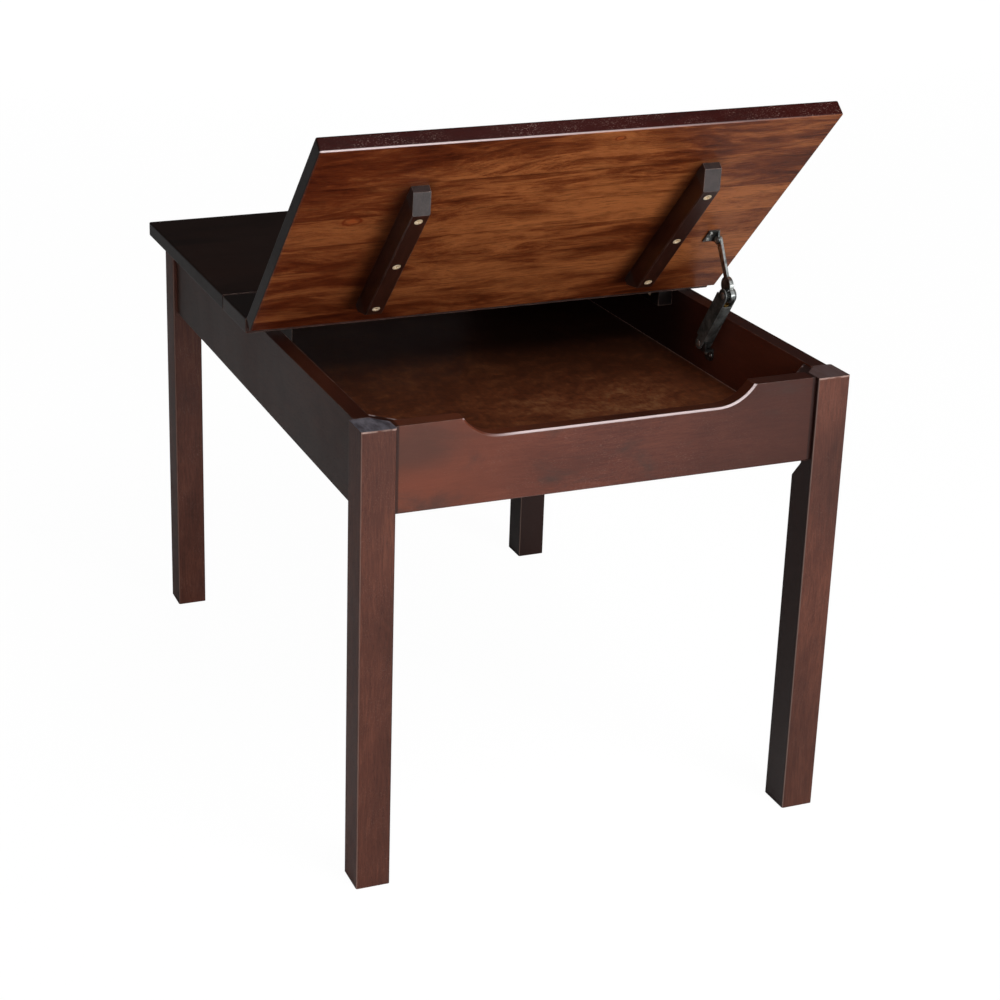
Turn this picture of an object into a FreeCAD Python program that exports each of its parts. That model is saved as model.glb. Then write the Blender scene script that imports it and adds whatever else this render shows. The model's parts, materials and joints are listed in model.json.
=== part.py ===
import FreeCAD, Part
import math
import os

from FreeCAD import Vector

# Lift-top end table in solid wood: four square legs, four aprons round a storage bin, and a top in
# three boards. A narrow centre board is fixed over two cleats, and a lid is hinged to each of its
# long edges. Each lid has two battens, two butt hinges and one sprung lid stay. The front lid
# stands open and the rear lid is closed.
#
# Millimetres. The origin is on the floor, midway between the legs. X is to the right, Y to the rear
# and Z up. Each thing is made where it belongs in the front half, with its lid closed. The rear
# half is the front half turned half a turn about Z.

# ---------------------------------------------------------------- driving dimensions

# legs
footprint_width = 568.0  # over the legs, left to right
footprint_depth = 784.0  # over the legs, front to rear
leg_side = 39.0
leg_height = 532.0
leg_edge = 2.0  # radius of the eased arrises
leg_corner_cut = 17.0  # flat across the inner corner, taken off each face
leg_cut_below_apron = 10.0
leg_cut_runout = 21.0

# aprons
apron_height = 97.0
apron_thickness = 19.0
apron_setback = 5.5  # behind the outer faces of the legs
apron_edge = 1.2
scoop_edge = 2.0
scoop_half_width = 169.5
scoop_depth = 22.4
scoop_radius = 52.0

# bin floor, held in a groove round the inside of the aprons
floor_thickness = 9.0
floor_above_apron_foot = 7.0
groove_depth = 6.0
groove_side_clearance = 1.0
groove_top_clearance = 0.3
floor_leg_clearance = 1.0

# corner blocks, and the bolts that pull the legs in
block_thickness = 12.0
block_height = 66.0
block_below_top = 2.0
block_leg_gap = 1.0
block_screw_from_corner = 22.0
block_screw_pitch = 40.0  # the screw into one apron above the screw into the other
block_screw_length = 19.0
bolt_radius = 4.0
bolt_depth_in_leg = 28.0
bolt_beyond_nut = 3.0
bolt_hole_clearance = 0.4
washer_radius = 8.5
washer_thickness = 1.6
nut_across_flats = 13.0
nut_height = 6.5

# top
top_thickness = 19.0
top_overhang = 17.5
top_edge = 2.0
centre_board_depth = 93.0
hinge_joint = 3.0  # open joint between the centre board and a lid
lid_rest_gap = 0.3  # under a closed lid
lid_open_angle = 47.0

# cleats that carry the centre board, glued and screwed to the side aprons
cleat_length = 70.0
cleat_height = 22.0
cleat_thickness = 19.0
cleat_screw_length = 30.0
cleat_screw_sunk = 4.0  # head of a screw into the board, above the foot of the cleat
board_screw_pitch = 50.0  # of the screws up into the board
cleat_screw_pitch = 22.0  # of the screws across into the apron

# butt hinges
hinge_x = (-200.0, 200.0)
hinge_length = 76.0
leaf_height = 16.0
leaf_thickness = 1.3
knuckle_radius = 3.0
knuckle_above_top = 0.2
knuckle_count = 3
knuckle_gap = 0.3
hinge_pin_radius = 1.5
hinge_screw_pitch = 48.0
hinge_screw_length = 14.0
hinge_screw_drop = 9.0  # below the top surface

# battens under a lid
batten_width = 20.5
batten_height = 25.5
batten_length = 245.0
batten_x = 172.0  # to each side of the middle
batten_middle = 161.0  # from the lid's hinged edge
batten_bevel_length = 20.0
batten_end_height = 8.5
batten_edge = 1.0
batten_screw_pitch = 91.0
batten_screw_in_lid = 11.0

# lid stay: foot on the side apron, channel housing, arm with a cam, and bracket on the lid
stay_from_apron = 12.5  # plane in which the stay swings, from the side apron
stay_foot_reach = 92.0  # from the hinge axis to the foot pivot
stay_foot_drop = 38.0  # foot pivot below the top of the apron
stay_lid_reach = 126.0  # from the hinge axis to the lid pivot
stay_lid_drop = 7.0  # lid pivot below the lid
stay_housing_reach = 87.4  # foot pivot to elbow
stay_arm_reach = 67.8  # elbow to lid pivot
rivet_radius = 2.5
rivet_end = 0.8  # beyond what it passes through

housing_width = 14.0
housing_wall = 1.5
housing_back = 11.0  # open side of the channel, from the line of the pivots
housing_corner = 4.5  # of the channel's closed side
channel_start = 12.0
channel_below_elbow = 12.2  # closed side ends this far from the elbow
cheek_below_elbow = 5.4
cheek_foot_radius = 7.0
cheek_elbow_radius = 8.2

arm_width = 6.5
arm_thickness = 3.0
arm_offset = 1.5  # arm's near face from the stay's plane
arm_end_radius = 5.0
cam_thickness = 5.0
cam_hub_radius = 9.2
cam_lobe_radius = 10.4
cam_lobe_offset = 12.0
elbow_hole_radius = 7.5  # clears the elbow rivet over the whole swing

plunger_radius = 5.2
plunger_offset = 2.0  # centre of the plunger, from the line of the pivots
plunger_slip = 0.3  # from the plunger to the channel's closed side
plunger_length = 10.0
plunger_below_elbow = 10.2  # its tip, lid open
plunger_travel = 11.2
spring_radius = 4.2
spring_end_gap = 0.3

foot_plate_width = 18.0
foot_plate_height = 16.0
foot_plate_corner = 6.0
foot_plate_behind = 5.0  # plate's middle behind the foot pivot
foot_metal = 2.0
foot_shelf_drop = 9.0  # shelf below the foot pivot
foot_tab_radius = 6.0
foot_screw_pitch = 11.0
foot_screw_below_shelf = 8.0
bracket_length = 22.0
bracket_width = 14.0
bracket_metal = 2.0
bracket_end_radius = 5.5
bracket_arm_gap = 0.3
bracket_screw_pitch = 12.0
bracket_screw_inset = 4.0
stay_screw_length = 11.0

# fits and screws
fixed_fit = 0.05  # round a pin, bolt or screw that stays put
running_fit = 0.06  # round a pin on which something turns
screw_sides = 6
peg_sides = 8  # of a bolt or washer that is out of sight
rivet_sides = 12  # of a rivet or pin whose ends alone show
screw_head_radius = 4.5
screw_shank_radius = 2.0
leaf_screw_radius = 1.7  # behind a leaf or bracket, with its flush head as part of that

# ---------------------------------------------------------------- places that follow from them

half_width = footprint_width / 2
half_depth = footprint_depth / 2
apron_face_x = half_width - apron_setback
apron_face_y = half_depth - apron_setback
bin_half_width = apron_face_x - apron_thickness
bin_half_depth = apron_face_y - apron_thickness
stay_x = bin_half_width - stay_from_apron
leg_inner_x = half_width - leg_side
leg_inner_y = half_depth - leg_side
apron_foot = leg_height - apron_height
floor_z = apron_foot + floor_above_apron_foot

# diagonal distances from the corner of the bin
leg_step = leg_side - apron_setback - apron_thickness
leg_corner = leg_step * math.sqrt(2.0)
leg_flat = leg_corner - leg_corner_cut / math.sqrt(2.0)
block_back = leg_flat + block_leg_gap
block_front = block_back + block_thickness
block_top = leg_height - block_below_top
block_middle = block_top - block_height / 2

top_half_width = half_width + top_overhang
top_half_depth = half_depth + top_overhang
top_surface = leg_height + top_thickness
centre_half_depth = centre_board_depth / 2
lid_back = -centre_half_depth - hinge_joint
lid_underside = leg_height + lid_rest_gap
hinge_y = -centre_half_depth - hinge_joint / 2
hinge_z = top_surface + knuckle_radius + knuckle_above_top
hinge_screw_z = top_surface - hinge_screw_drop
batten_y = lid_back - batten_middle
batten_foot = lid_underside - batten_height

foot_pivot = (hinge_y - stay_foot_reach, leg_height - stay_foot_drop)
lid_pivot = (hinge_y - stay_lid_reach, lid_underside - stay_lid_drop)
foot_plate_y = foot_pivot[0] + foot_plate_behind
foot_shelf_z = foot_pivot[1] - foot_shelf_drop
bracket_side = stay_x + arm_offset - bracket_arm_gap
housing_front = plunger_offset + plunger_radius + plunger_slip + housing_wall
channel_end = stay_housing_reach - channel_below_elbow
cheek_end = stay_housing_reach - cheek_below_elbow
plunger_tip = stay_housing_reach - plunger_below_elbow


# ---------------------------------------------------------------- shapes used throughout


def box(x0, x1, y0, y1, z0, z1):
    return Part.makeBox(x1 - x0, y1 - y0, z1 - z0, Vector(x0, y0, z0))


def rod(radius, length, start, direction):
    return Part.makeCylinder(radius, length, Vector(*start), Vector(*direction))


def extruded(points, direction):
    """Prism on a closed polygon."""
    corners = [Vector(*point) for point in points]
    return Part.Face(Part.makePolygon(corners + corners[:1])).extrude(Vector(*direction))


def eased(shape, radius, chosen):
    """The shape with the arrises that chosen(edge) picks rounded over."""
    return shape.makeFillet(radius, [edge for edge in shape.Edges if chosen(edge)])


def bevelled(shape, size, chosen):
    """The shape with the arrises that chosen(edge) picks cut off flat."""
    return shape.makeChamfer(size, [edge for edge in shape.Edges if chosen(edge)])


def runs_along(edge, axis):
    start, end = edge.Vertexes[0].Point, edge.Vertexes[-1].Point
    return abs((end - start).normalize().dot(axis)) > 0.999


def joined(shapes):
    return shapes[0].multiFuse(shapes[1:]).removeSplitter()


def group(shapes):
    """Separate solids in one node."""
    solids = [solid for shape in shapes for solid in shape.Solids]
    return solids[0] if len(solids) == 1 else Part.makeCompound(solids)


def fastened(leaves, shank_list):
    """Each leaf in one piece with the shanks that touch it."""
    pieces = []
    for leaf in leaves:
        own = [shank for shank in shank_list if leaf.distToShape(shank)[0] < 0.01]
        pieces.append(joined([leaf] + own))
    return group(pieces)


def ring(sides, radius, z):
    angles = [2 * math.pi * (i + 0.5) / sides for i in range(sides)]
    return [Vector(radius * math.cos(angle), radius * math.sin(angle), z) for angle in angles]


def faceted(rings):
    """Solid with flat sides between one ring of points and the next, and flat ends."""
    outlines = [rings[0], rings[-1]]
    for lower, upper in zip(rings, rings[1:]):
        for i in range(len(lower)):
            outlines.append([lower[i - 1], lower[i], upper[i], upper[i - 1]])
    faces = [Part.Face(Part.makePolygon(outline + outline[:1])) for outline in outlines]
    return Part.makeSolid(Part.makeShell(faces))


def aimed(shape, point, direction):
    """From the origin and +Z to a point and a direction."""
    turn = FreeCAD.Rotation(Vector(0, 0, 1), Vector(*direction))
    shape.Placement = FreeCAD.Placement(Vector(*point), turn)
    return shape


def peg(radius, length, point, direction, sides=peg_sides):
    """Round rod of few faces, for what is out of sight."""
    return aimed(faceted([ring(sides, radius, 0), ring(sides, radius, length)]), point, direction)


def screw(place, length, fit=0.0, recess=0.0):
    """Countersunk screw with its head's face at place, a point and a direction.

    With a fit it is the hole for that screw, open for recess above the head.
    """
    head, shank = screw_head_radius + fit, screw_shank_radius + fit
    neck = screw_head_radius - screw_shank_radius
    rings = [
        ring(screw_sides, head, 0),
        ring(screw_sides, shank, neck),
        ring(screw_sides, shank, length + fit),
    ]
    if recess:
        rings.insert(0, ring(screw_sides, head, -recess))
    return aimed(faceted(rings), *place)


def screws(places, length):
    return group([screw(place, length) for place in places])


def drilled(shape, places, length, recess=0.0):
    return shape.cut([screw(place, length, fixed_fit, recess) for place in places])


def shanks(places, length, fit=0.0):
    """Screws behind a leaf or bracket whose flush heads are part of it, or their holes."""
    return [
        peg(leaf_screw_radius + fit, length + fit, point, direction, screw_sides)
        for point, direction in places
    ]


# ---------------------------------------------------------------- placing


def turned(shape):
    """From the front half to the rear half."""
    result = shape.copy()
    result.rotate(Vector(0, 0, 0), Vector(0, 0, 1), 180)
    return result


def lifted(shape):
    """From the closed lid to the open lid."""
    result = shape.copy()
    result.rotate(Vector(0, hinge_y, hinge_z), Vector(1, 0, 0), -lid_open_angle)
    return result


def in_corner(shape):
    """From a frame whose X runs diagonally into the bin from its front left corner."""
    result = shape.copy()
    result.rotate(Vector(0, 0, 0), Vector(0, 0, 1), 45)
    result.translate(Vector(-bin_half_width, -bin_half_depth, 0))
    return result


def on_link(shape, start, end):
    """From a link frame to the stay: Y runs from start to end, and Z to the left of it."""
    result = shape.copy()
    angle = math.degrees(math.atan2(end[1] - start[1], end[0] - start[0]))
    result.rotate(Vector(0, 0, 0), Vector(1, 0, 0), angle)
    result.translate(Vector(stay_x, start[0], start[1]))
    return result


def mirrored_x(shape):
    return shape.mirror(Vector(0, 0, 0), Vector(1, 0, 0))


def mirrored_y(shape):
    return shape.mirror(Vector(0, 0, 0), Vector(0, 1, 0))


corners = {
    "front_left": lambda shape: shape,
    "front_right": mirrored_x,
    "rear_left": mirrored_y,
    "rear_right": turned,
}


def at_corners(shape):
    return group([place(shape) for place in corners.values()])


# ---------------------------------------------------------------- legs


def hanger_bolt(grow=0.0):
    end = block_front + washer_thickness + nut_height + bolt_beyond_nut
    start = leg_flat - bolt_depth_in_leg - grow
    return in_corner(peg(bolt_radius + grow, end - start, (start, 0, block_middle), (1, 0, 0)))


def leg():
    """Square leg with eased arrises, its inner corner cut flat beside the bin."""
    body = box(-half_width, -leg_inner_x, -half_depth, -leg_inner_y, 0, leg_height)
    body = eased(body, leg_edge, lambda edge: runs_along(edge, Vector(0, 0, 1)))
    foot = apron_foot - leg_cut_below_apron
    beyond = leg_corner + leg_side
    profile = [
        (leg_flat, -leg_side, leg_height + leg_side),
        (leg_flat, -leg_side, foot),
        (leg_corner, -leg_side, foot - leg_cut_runout),
        (beyond, -leg_side, foot - leg_cut_runout),
        (beyond, -leg_side, leg_height + leg_side),
    ]
    return body.cut([in_corner(extruded(profile, (0, 2 * leg_side, 0))), hanger_bolt(fixed_fit)])


# ---------------------------------------------------------------- aprons


def scoop():
    """Finger scoop: a flat foot, and at each end one arc tangent to it."""
    foot = leg_height - scoop_depth
    sweep = math.acos(1 - scoop_depth / scoop_radius)
    flat = scoop_half_width - scoop_radius * math.sin(sweep)
    y = -apron_face_y - apron_thickness

    def on_arc(angle, side):
        across = flat + scoop_radius * math.sin(angle)
        return Vector(side * across, y, foot + scoop_radius * (1 - math.cos(angle)))

    right, left = on_arc(sweep, 1), on_arc(sweep, -1)
    lift = Vector(0, 0, apron_thickness)
    outline = [
        Part.makeLine(on_arc(0, -1), on_arc(0, 1)),
        Part.Arc(on_arc(0, 1), on_arc(sweep / 2, 1), right).toShape(),
        Part.makeLine(right, right + lift),
        Part.makeLine(right + lift, left + lift),
        Part.makeLine(left + lift, left),
        Part.Arc(left, on_arc(sweep / 2, -1), on_arc(0, -1)).toShape(),
    ]
    return Part.Face(Part.Wire(outline)).extrude(Vector(0, 3 * apron_thickness, 0))


def block_screw_places():
    """In the slanting face of the front left block: one into each of the two aprons beside it."""
    seat = block_front * math.sqrt(2.0) - block_screw_from_corner - screw_head_radius
    across = block_screw_from_corner
    upper = block_middle + block_screw_pitch / 2
    lower = block_middle - block_screw_pitch / 2
    return [
        ((across - bin_half_width, seat - bin_half_depth, upper), (0, -1, 0)),
        ((seat - bin_half_width, across - bin_half_depth, lower), (-1, 0, 0)),
    ]


def drilled_for_block(shape):
    return drilled(shape, block_screw_places(), block_screw_length, block_thickness)


def groove(x0, x1, y0, y1):
    top = floor_z + floor_thickness + groove_top_clearance
    return box(x0, x1, y0, y1, floor_z, top)


def apron_front():
    """Front apron: scoop in its top edge, groove for the bin floor."""
    near, far = -apron_face_y, -bin_half_depth
    body = box(-leg_inner_x, leg_inner_x, near, far, apron_foot, leg_height).cut(scoop())

    def in_scoop(edge):
        middle = edge.CenterOfMass
        on_face = edge.BoundBox.YLength < 0.01 and abs(middle.x) < scoop_half_width
        return on_face and leg_height - scoop_depth - 0.01 < middle.z < leg_height - 0.01

    def at_foot(edge):
        return runs_along(edge, Vector(1, 0, 0)) and edge.BoundBox.ZMax < floor_z

    body = bevelled(bevelled(body, scoop_edge, in_scoop), apron_edge, at_foot)
    body = body.cut(groove(-leg_inner_x - 1, leg_inner_x + 1, far - groove_depth, far + 1))
    return mirrored_x(drilled_for_block(mirrored_x(drilled_for_block(body))))


def apron_right():
    """Side apron: groove for the bin floor, holes for the cleat and for the stay's foot."""
    near, far = bin_half_width, apron_face_x
    body = box(near, far, -leg_inner_y, leg_inner_y, apron_foot, leg_height)
    body = bevelled(
        body, apron_edge,
        lambda edge: runs_along(edge, Vector(0, 1, 0)) and edge.BoundBox.ZMax < floor_z,
    )
    body = body.cut(groove(near - 1, near + groove_depth, -leg_inner_y - 1, leg_inner_y + 1))
    body = drilled(body, apron_screw_places(), cleat_screw_length)
    body = body.cut(shanks(foot_screw_places(), stay_screw_length, fixed_fit))
    body = mirrored_x(drilled_for_block(mirrored_x(body)))
    return turned(drilled_for_block(turned(body)))


# ---------------------------------------------------------------- bin


def bin_floor():
    """Panel in the grooves, its corners cut to pass the legs."""
    x = bin_half_width + groove_depth - groove_side_clearance
    y = bin_half_depth + groove_depth - groove_side_clearance
    leg_x = leg_inner_x - floor_leg_clearance
    leg_y = leg_inner_y - floor_leg_clearance
    reach = (leg_flat + floor_leg_clearance) * math.sqrt(2.0)
    slant_x = bin_half_width + bin_half_depth - reach - leg_y
    slant_y = bin_half_width + bin_half_depth - reach - leg_x
    quarter = [(x, leg_y), (slant_x, leg_y), (leg_x, slant_y), (leg_x, y)]
    outline = quarter + [(-px, py) for px, py in reversed(quarter)]
    outline += [(-px, -py) for px, py in outline]
    return extruded([(px, py, floor_z) for px, py in outline], (0, 0, floor_thickness))


def corner_block():
    """Block glued and screwed across the front left corner, drilled for the hanger bolt."""
    foot = block_top - block_height
    plan = [
        (block_back, -block_back, foot),
        (block_back, block_back, foot),
        (block_front, block_front, foot),
        (block_front, -block_front, foot),
    ]
    body = in_corner(extruded(plan, (0, 0, block_height)))
    return drilled_for_block(body.cut(hanger_bolt(bolt_hole_clearance)))


def hanger_washer():
    start = (block_front, 0, block_middle)
    disc = in_corner(peg(washer_radius, washer_thickness, start, (1, 0, 0)))
    return disc.cut(hanger_bolt(bolt_hole_clearance))


def hanger_nut():
    start = (block_front + washer_thickness, 0, block_middle)
    hexagon = peg(nut_across_flats / math.sqrt(3.0), nut_height, start, (1, 0, 0), 6)
    return in_corner(hexagon).cut(hanger_bolt(fixed_fit))


# ---------------------------------------------------------------- centre of the top


def board_screw_places():
    """Up through the right cleat into the centre board."""
    x = bin_half_width - cleat_thickness / 2
    z = leg_height - cleat_height + cleat_screw_sunk
    return [((x, side * board_screw_pitch / 2, z), (0, 0, 1)) for side in (-1, 1)]


def apron_screw_places():
    """Across through the right cleat into the side apron."""
    x = bin_half_width - cleat_thickness
    z = leg_height - cleat_height / 2
    return [((x, side * cleat_screw_pitch / 2, z), (1, 0, 0)) for side in (-1, 1)]


def centre_cleat():
    """Cleat against the right apron, its top level with the apron's."""
    x, y = bin_half_width - cleat_thickness, cleat_length / 2
    body = box(x, bin_half_width, -y, y, leg_height - cleat_height, leg_height)
    body = drilled(body, board_screw_places(), cleat_screw_length, 2 * cleat_screw_sunk)
    return drilled(body, apron_screw_places(), cleat_screw_length)


def centre_cleat_screws():
    right = screws(board_screw_places() + apron_screw_places(), cleat_screw_length)
    return group([right, turned(right)])


def board(y0, y1, z0):
    """Board of the top, as wide as the table, its arrises eased except beside a hinge."""
    body = box(-top_half_width, top_half_width, y0, y1, z0, z0 + top_thickness)

    def arris(edge):
        at_end = edge.BoundBox.XLength < 0.01 and edge.BoundBox.ZLength < 0.01
        at_front = edge.BoundBox.YMax < -centre_half_depth - 1 and edge.BoundBox.YLength < 0.01
        return at_end or (at_front and edge.BoundBox.YMax < y1 - 1)

    return eased(body, top_edge, arris)


def centre_board():
    body = board(-centre_half_depth, centre_half_depth, leg_height)
    for _ in range(2):
        body = turned(drilled(body, board_screw_places(), cleat_screw_length))
    holes = shanks(hinge_screw_places(1), hinge_screw_length, fixed_fit)
    return body.cut(holes + [turned(hole) for hole in holes])


# ---------------------------------------------------------------- butt hinges


def board_edge(side):
    """Hinged edge of the centre board (side 1) or of the closed front lid (side -1)."""
    return -centre_half_depth if side > 0 else lid_back


def hinge_screw_places(side):
    steps = (-hinge_screw_pitch / 2, hinge_screw_pitch / 2)
    return [
        ((x + step, board_edge(side), hinge_screw_z), (0, side, 0))
        for x in hinge_x
        for step in steps
    ]


def hinge_pin(x, grow=0.0):
    start = (x - hinge_length / 2 - grow, hinge_y, hinge_z)
    return peg(hinge_pin_radius + grow, hinge_length + 2 * grow, start, (1, 0, 0), rivet_sides)


def hinge_leaf(x, side):
    """Leaf on one edge of the joint, with every second knuckle of the barrel."""
    y0, y1 = sorted((board_edge(side), board_edge(side) - side * leaf_thickness))
    start, end = x - hinge_length / 2, x + hinge_length / 2
    pitch = hinge_length / knuckle_count
    pieces = [box(start, end, y0, y1, top_surface - leaf_height, top_surface)]
    for i in range(0 if side > 0 else 1, knuckle_count, 2):
        x0 = max(start, start + i * pitch + knuckle_gap / 2 * (i > 0))
        x1 = min(end, start + (i + 1) * pitch - knuckle_gap / 2)
        pieces.append(rod(knuckle_radius, x1 - x0, (x0, hinge_y, hinge_z), (1, 0, 0)))
        pieces.append(box(x0, x1, y0, y1, top_surface, hinge_z))
    return joined(pieces)


def hinge_fixed_leaves():
    """Leaves on the centre board, each in one piece with its pin and the shanks of its screws."""
    leaves = [joined([hinge_leaf(x, 1), hinge_pin(x)]) for x in hinge_x]
    return fastened(leaves, shanks(hinge_screw_places(1), hinge_screw_length))


def hinge_lid_leaves():
    leaves = [hinge_leaf(x, -1).cut(hinge_pin(x, running_fit)) for x in hinge_x]
    return fastened(leaves, shanks(hinge_screw_places(-1), hinge_screw_length))


# ---------------------------------------------------------------- lid and battens


def batten_screw_places(x):
    steps = (-batten_screw_pitch, 0, batten_screw_pitch)
    return [((x, batten_y + step, batten_foot), (0, 0, 1)) for step in steps]


def drilled_for_battens(shape, x):
    return drilled(shape, batten_screw_places(x), batten_height + batten_screw_in_lid)


def batten_screws():
    places = batten_screw_places(-batten_x) + batten_screw_places(batten_x)
    return screws(places, batten_height + batten_screw_in_lid)


def lid():
    body = board(-top_half_depth, lid_back, lid_underside)
    body = body.cut(shanks(hinge_screw_places(-1), hinge_screw_length, fixed_fit))
    body = body.cut(shanks(bracket_screw_places(), stay_screw_length, fixed_fit))
    return drilled_for_battens(drilled_for_battens(body, -batten_x), batten_x)


def batten(x):
    """Batten across a lid's boards, square at its ends and then bevelled to its full height."""
    left = x - batten_width / 2
    start, end = batten_y - batten_length / 2, batten_y + batten_length / 2
    shoulder = lid_underside - batten_end_height
    outline = [
        (left, start, lid_underside),
        (left, start, shoulder),
        (left, start + batten_bevel_length, batten_foot),
        (left, end - batten_bevel_length, batten_foot),
        (left, end, shoulder),
        (left, end, lid_underside),
    ]
    body = extruded(outline, (batten_width, 0, 0))
    body = bevelled(
        body, batten_edge,
        lambda edge: runs_along(edge, Vector(0, 1, 0)) and edge.BoundBox.ZMax < shoulder,
    )
    return drilled_for_battens(body, x)


# ---------------------------------------------------------------- lid stay


def elbow(lid_end):
    """Elbow of the stay, on its front side, for a place of the lid pivot."""
    across, up = lid_end[0] - foot_pivot[0], lid_end[1] - foot_pivot[1]
    span = math.hypot(across, up)
    near = (stay_housing_reach**2 - stay_arm_reach**2 + span**2) / (2 * span)
    angle = math.atan2(up, across) + math.acos(near / stay_housing_reach)
    y = foot_pivot[0] + stay_housing_reach * math.cos(angle)
    return (y, foot_pivot[1] + stay_housing_reach * math.sin(angle))


def open_lid_pivot():
    angle = math.radians(-lid_open_angle)
    y, z = lid_pivot[0] - hinge_y, lid_pivot[1] - hinge_z
    swung_y = y * math.cos(angle) - z * math.sin(angle)
    return (hinge_y + swung_y, hinge_z + y * math.sin(angle) + z * math.cos(angle))


def link_plate(x0, x1, start_radius, end, end_radius):
    """Flat link along Y from the origin: two round ends and the lines that touch both."""
    lean = math.asin((start_radius - end_radius) / end)

    def touching(centre, radius, side):
        return (x0, centre + radius * math.sin(lean), side * radius * math.cos(lean))

    sides = [
        touching(0, start_radius, 1), touching(end, end_radius, 1),
        touching(end, end_radius, -1), touching(0, start_radius, -1),
    ]
    return joined([
        extruded(sides, (x1 - x0, 0, 0)),
        rod(start_radius, x1 - x0, (x0, 0, 0), (1, 0, 0)),
        rod(end_radius, x1 - x0, (x0, end, 0), (1, 0, 0)),
    ])


def cheek(x0, x1):
    """Side wall of the housing, deeper than the link between its pivots."""
    wall = box(x0, x1, cheek_foot_radius, cheek_end, -housing_back, 0)
    link = link_plate(x0, x1, cheek_foot_radius, stay_housing_reach, cheek_elbow_radius)
    return link.fuse(wall)


def pivot_rivet(x0, x1, reach):
    """Rivet through x0 to x1, at this distance along a link."""
    start = (x0 - rivet_end, reach, 0)
    return peg(rivet_radius, x1 - x0 + 2 * rivet_end, start, (1, 0, 0), rivet_sides)


def stay_housing():
    """Pressed channel, open at the back, and the elbow's rivet, along Y from foot to elbow."""
    half, inside = housing_width / 2, housing_width / 2 - housing_wall
    seat = channel_start + housing_wall
    channel = eased(
        box(-half, half, channel_start, channel_end, -housing_back, housing_front), housing_corner,
        lambda edge: runs_along(edge, Vector(0, 1, 0)) and edge.BoundBox.ZMin > 0,
    )
    channel = channel.cut([
        box(-inside, inside, seat, channel_end, -housing_back, housing_front - housing_wall),
        box(-inside, inside, channel_start, seat, -housing_back, plunger_offset - inside),
    ])
    rivet = pivot_rivet(-half, half, stay_housing_reach)
    body = joined([cheek(-half, -inside), cheek(inside, half), channel, rivet])
    return body.cut(rod(rivet_radius + running_fit, housing_width, (-half, 0, 0), (1, 0, 0)))


def stay_arm():
    """Arm along Y from elbow to lid pivot: flat bar, hub, and a cam lobe on the hub."""
    x0, x1 = arm_offset, arm_offset + arm_thickness
    cam = x1 - cam_thickness
    body = joined([
        link_plate(x0, x1, arm_width / 2, stay_arm_reach, arm_end_radius),
        rod(cam_hub_radius, cam_thickness, (cam, 0, 0), (1, 0, 0)),
        rod(cam_lobe_radius, cam_thickness, (cam, cam_lobe_offset, 0), (1, 0, 0)),
    ])
    return body.cut([
        rod(elbow_hole_radius, cam_thickness, (cam, 0, 0), (1, 0, 0)),
        rod(rivet_radius + running_fit, arm_thickness, (x0, stay_arm_reach, 0), (1, 0, 0)),
    ])


def stay_plunger(compressed):
    """Plunger that the spring holds against the cam."""
    start = plunger_tip - plunger_travel * compressed - plunger_length
    return rod(plunger_radius, plunger_length, (0, start, plunger_offset), (0, 1, 0))


def stay_spring(compressed):
    """Space that the coil spring fills, from the housing's seat to the plunger."""
    start = channel_start + housing_wall + spring_end_gap
    end = plunger_tip - plunger_travel * compressed - plunger_length - spring_end_gap
    return rod(spring_radius, end - start, (0, start, plunger_offset), (0, 1, 0))


def foot_screw_places():
    z = foot_shelf_z - foot_screw_below_shelf
    steps = (-foot_screw_pitch / 2, foot_screw_pitch / 2)
    return [((bin_half_width, foot_plate_y + step, z), (1, 0, 0)) for step in steps]


def stay_foot():
    """Plate on the side apron with its screws, shelf, and tab with the housing's rivet."""
    y, z = foot_pivot
    near, tab = bin_half_width - foot_metal, stay_x - foot_metal / 2
    y0, y1 = foot_plate_y - foot_plate_width / 2, foot_plate_y + foot_plate_width / 2
    shelf_foot = foot_shelf_z - foot_metal
    plate = box(near, bin_half_width, y0, y1, foot_shelf_z - foot_plate_height, foot_shelf_z)
    plate = eased(
        plate, foot_plate_corner,
        lambda edge: runs_along(edge, Vector(1, 0, 0)) and edge.BoundBox.ZMax < shelf_foot,
    )
    half, half_housing = foot_tab_radius, housing_width / 2
    pieces = [
        plate,
        box(tab, near, y - half, y + half, shelf_foot, foot_shelf_z),
        box(tab, tab + foot_metal, y - half, y + half, shelf_foot, z),
        rod(half, foot_metal, (tab, y, z), (1, 0, 0)),
        on_link(pivot_rivet(-half_housing, half_housing, 0), foot_pivot, lid_pivot),
    ]
    return joined(pieces + shanks(foot_screw_places(), stay_screw_length))


def bracket_screw_places():
    x = bracket_side - bracket_width + bracket_screw_inset
    steps = (-bracket_screw_pitch / 2, bracket_screw_pitch / 2)
    return [((x, lid_pivot[0] + step, lid_underside), (0, 0, 1)) for step in steps]


def stay_lid_bracket():
    """Angle bracket under the lid with its screws, and the arm's rivet in its upright leg."""
    y, z = lid_pivot
    y0, y1 = y - bracket_length / 2, y + bracket_length / 2
    face, underside = bracket_side - bracket_metal, lid_underside - bracket_metal
    leg_outline = [
        (face, y0, underside),
        (face, y - bracket_end_radius, z),
        (face, y + bracket_end_radius, z),
        (face, y1, underside),
    ]
    arm_face = arm_offset + arm_thickness
    pieces = [
        box(bracket_side - bracket_width, bracket_side, y0, y1, underside, lid_underside),
        extruded(leg_outline, (bracket_metal, 0, 0)),
        rod(bracket_end_radius, bracket_metal, (face, y, z), (1, 0, 0)),
        on_link(pivot_rivet(face - stay_x, arm_face, 0), lid_pivot, foot_pivot),
    ]
    return joined(pieces + shanks(bracket_screw_places(), stay_screw_length))


# ---------------------------------------------------------------- nodes


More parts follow.
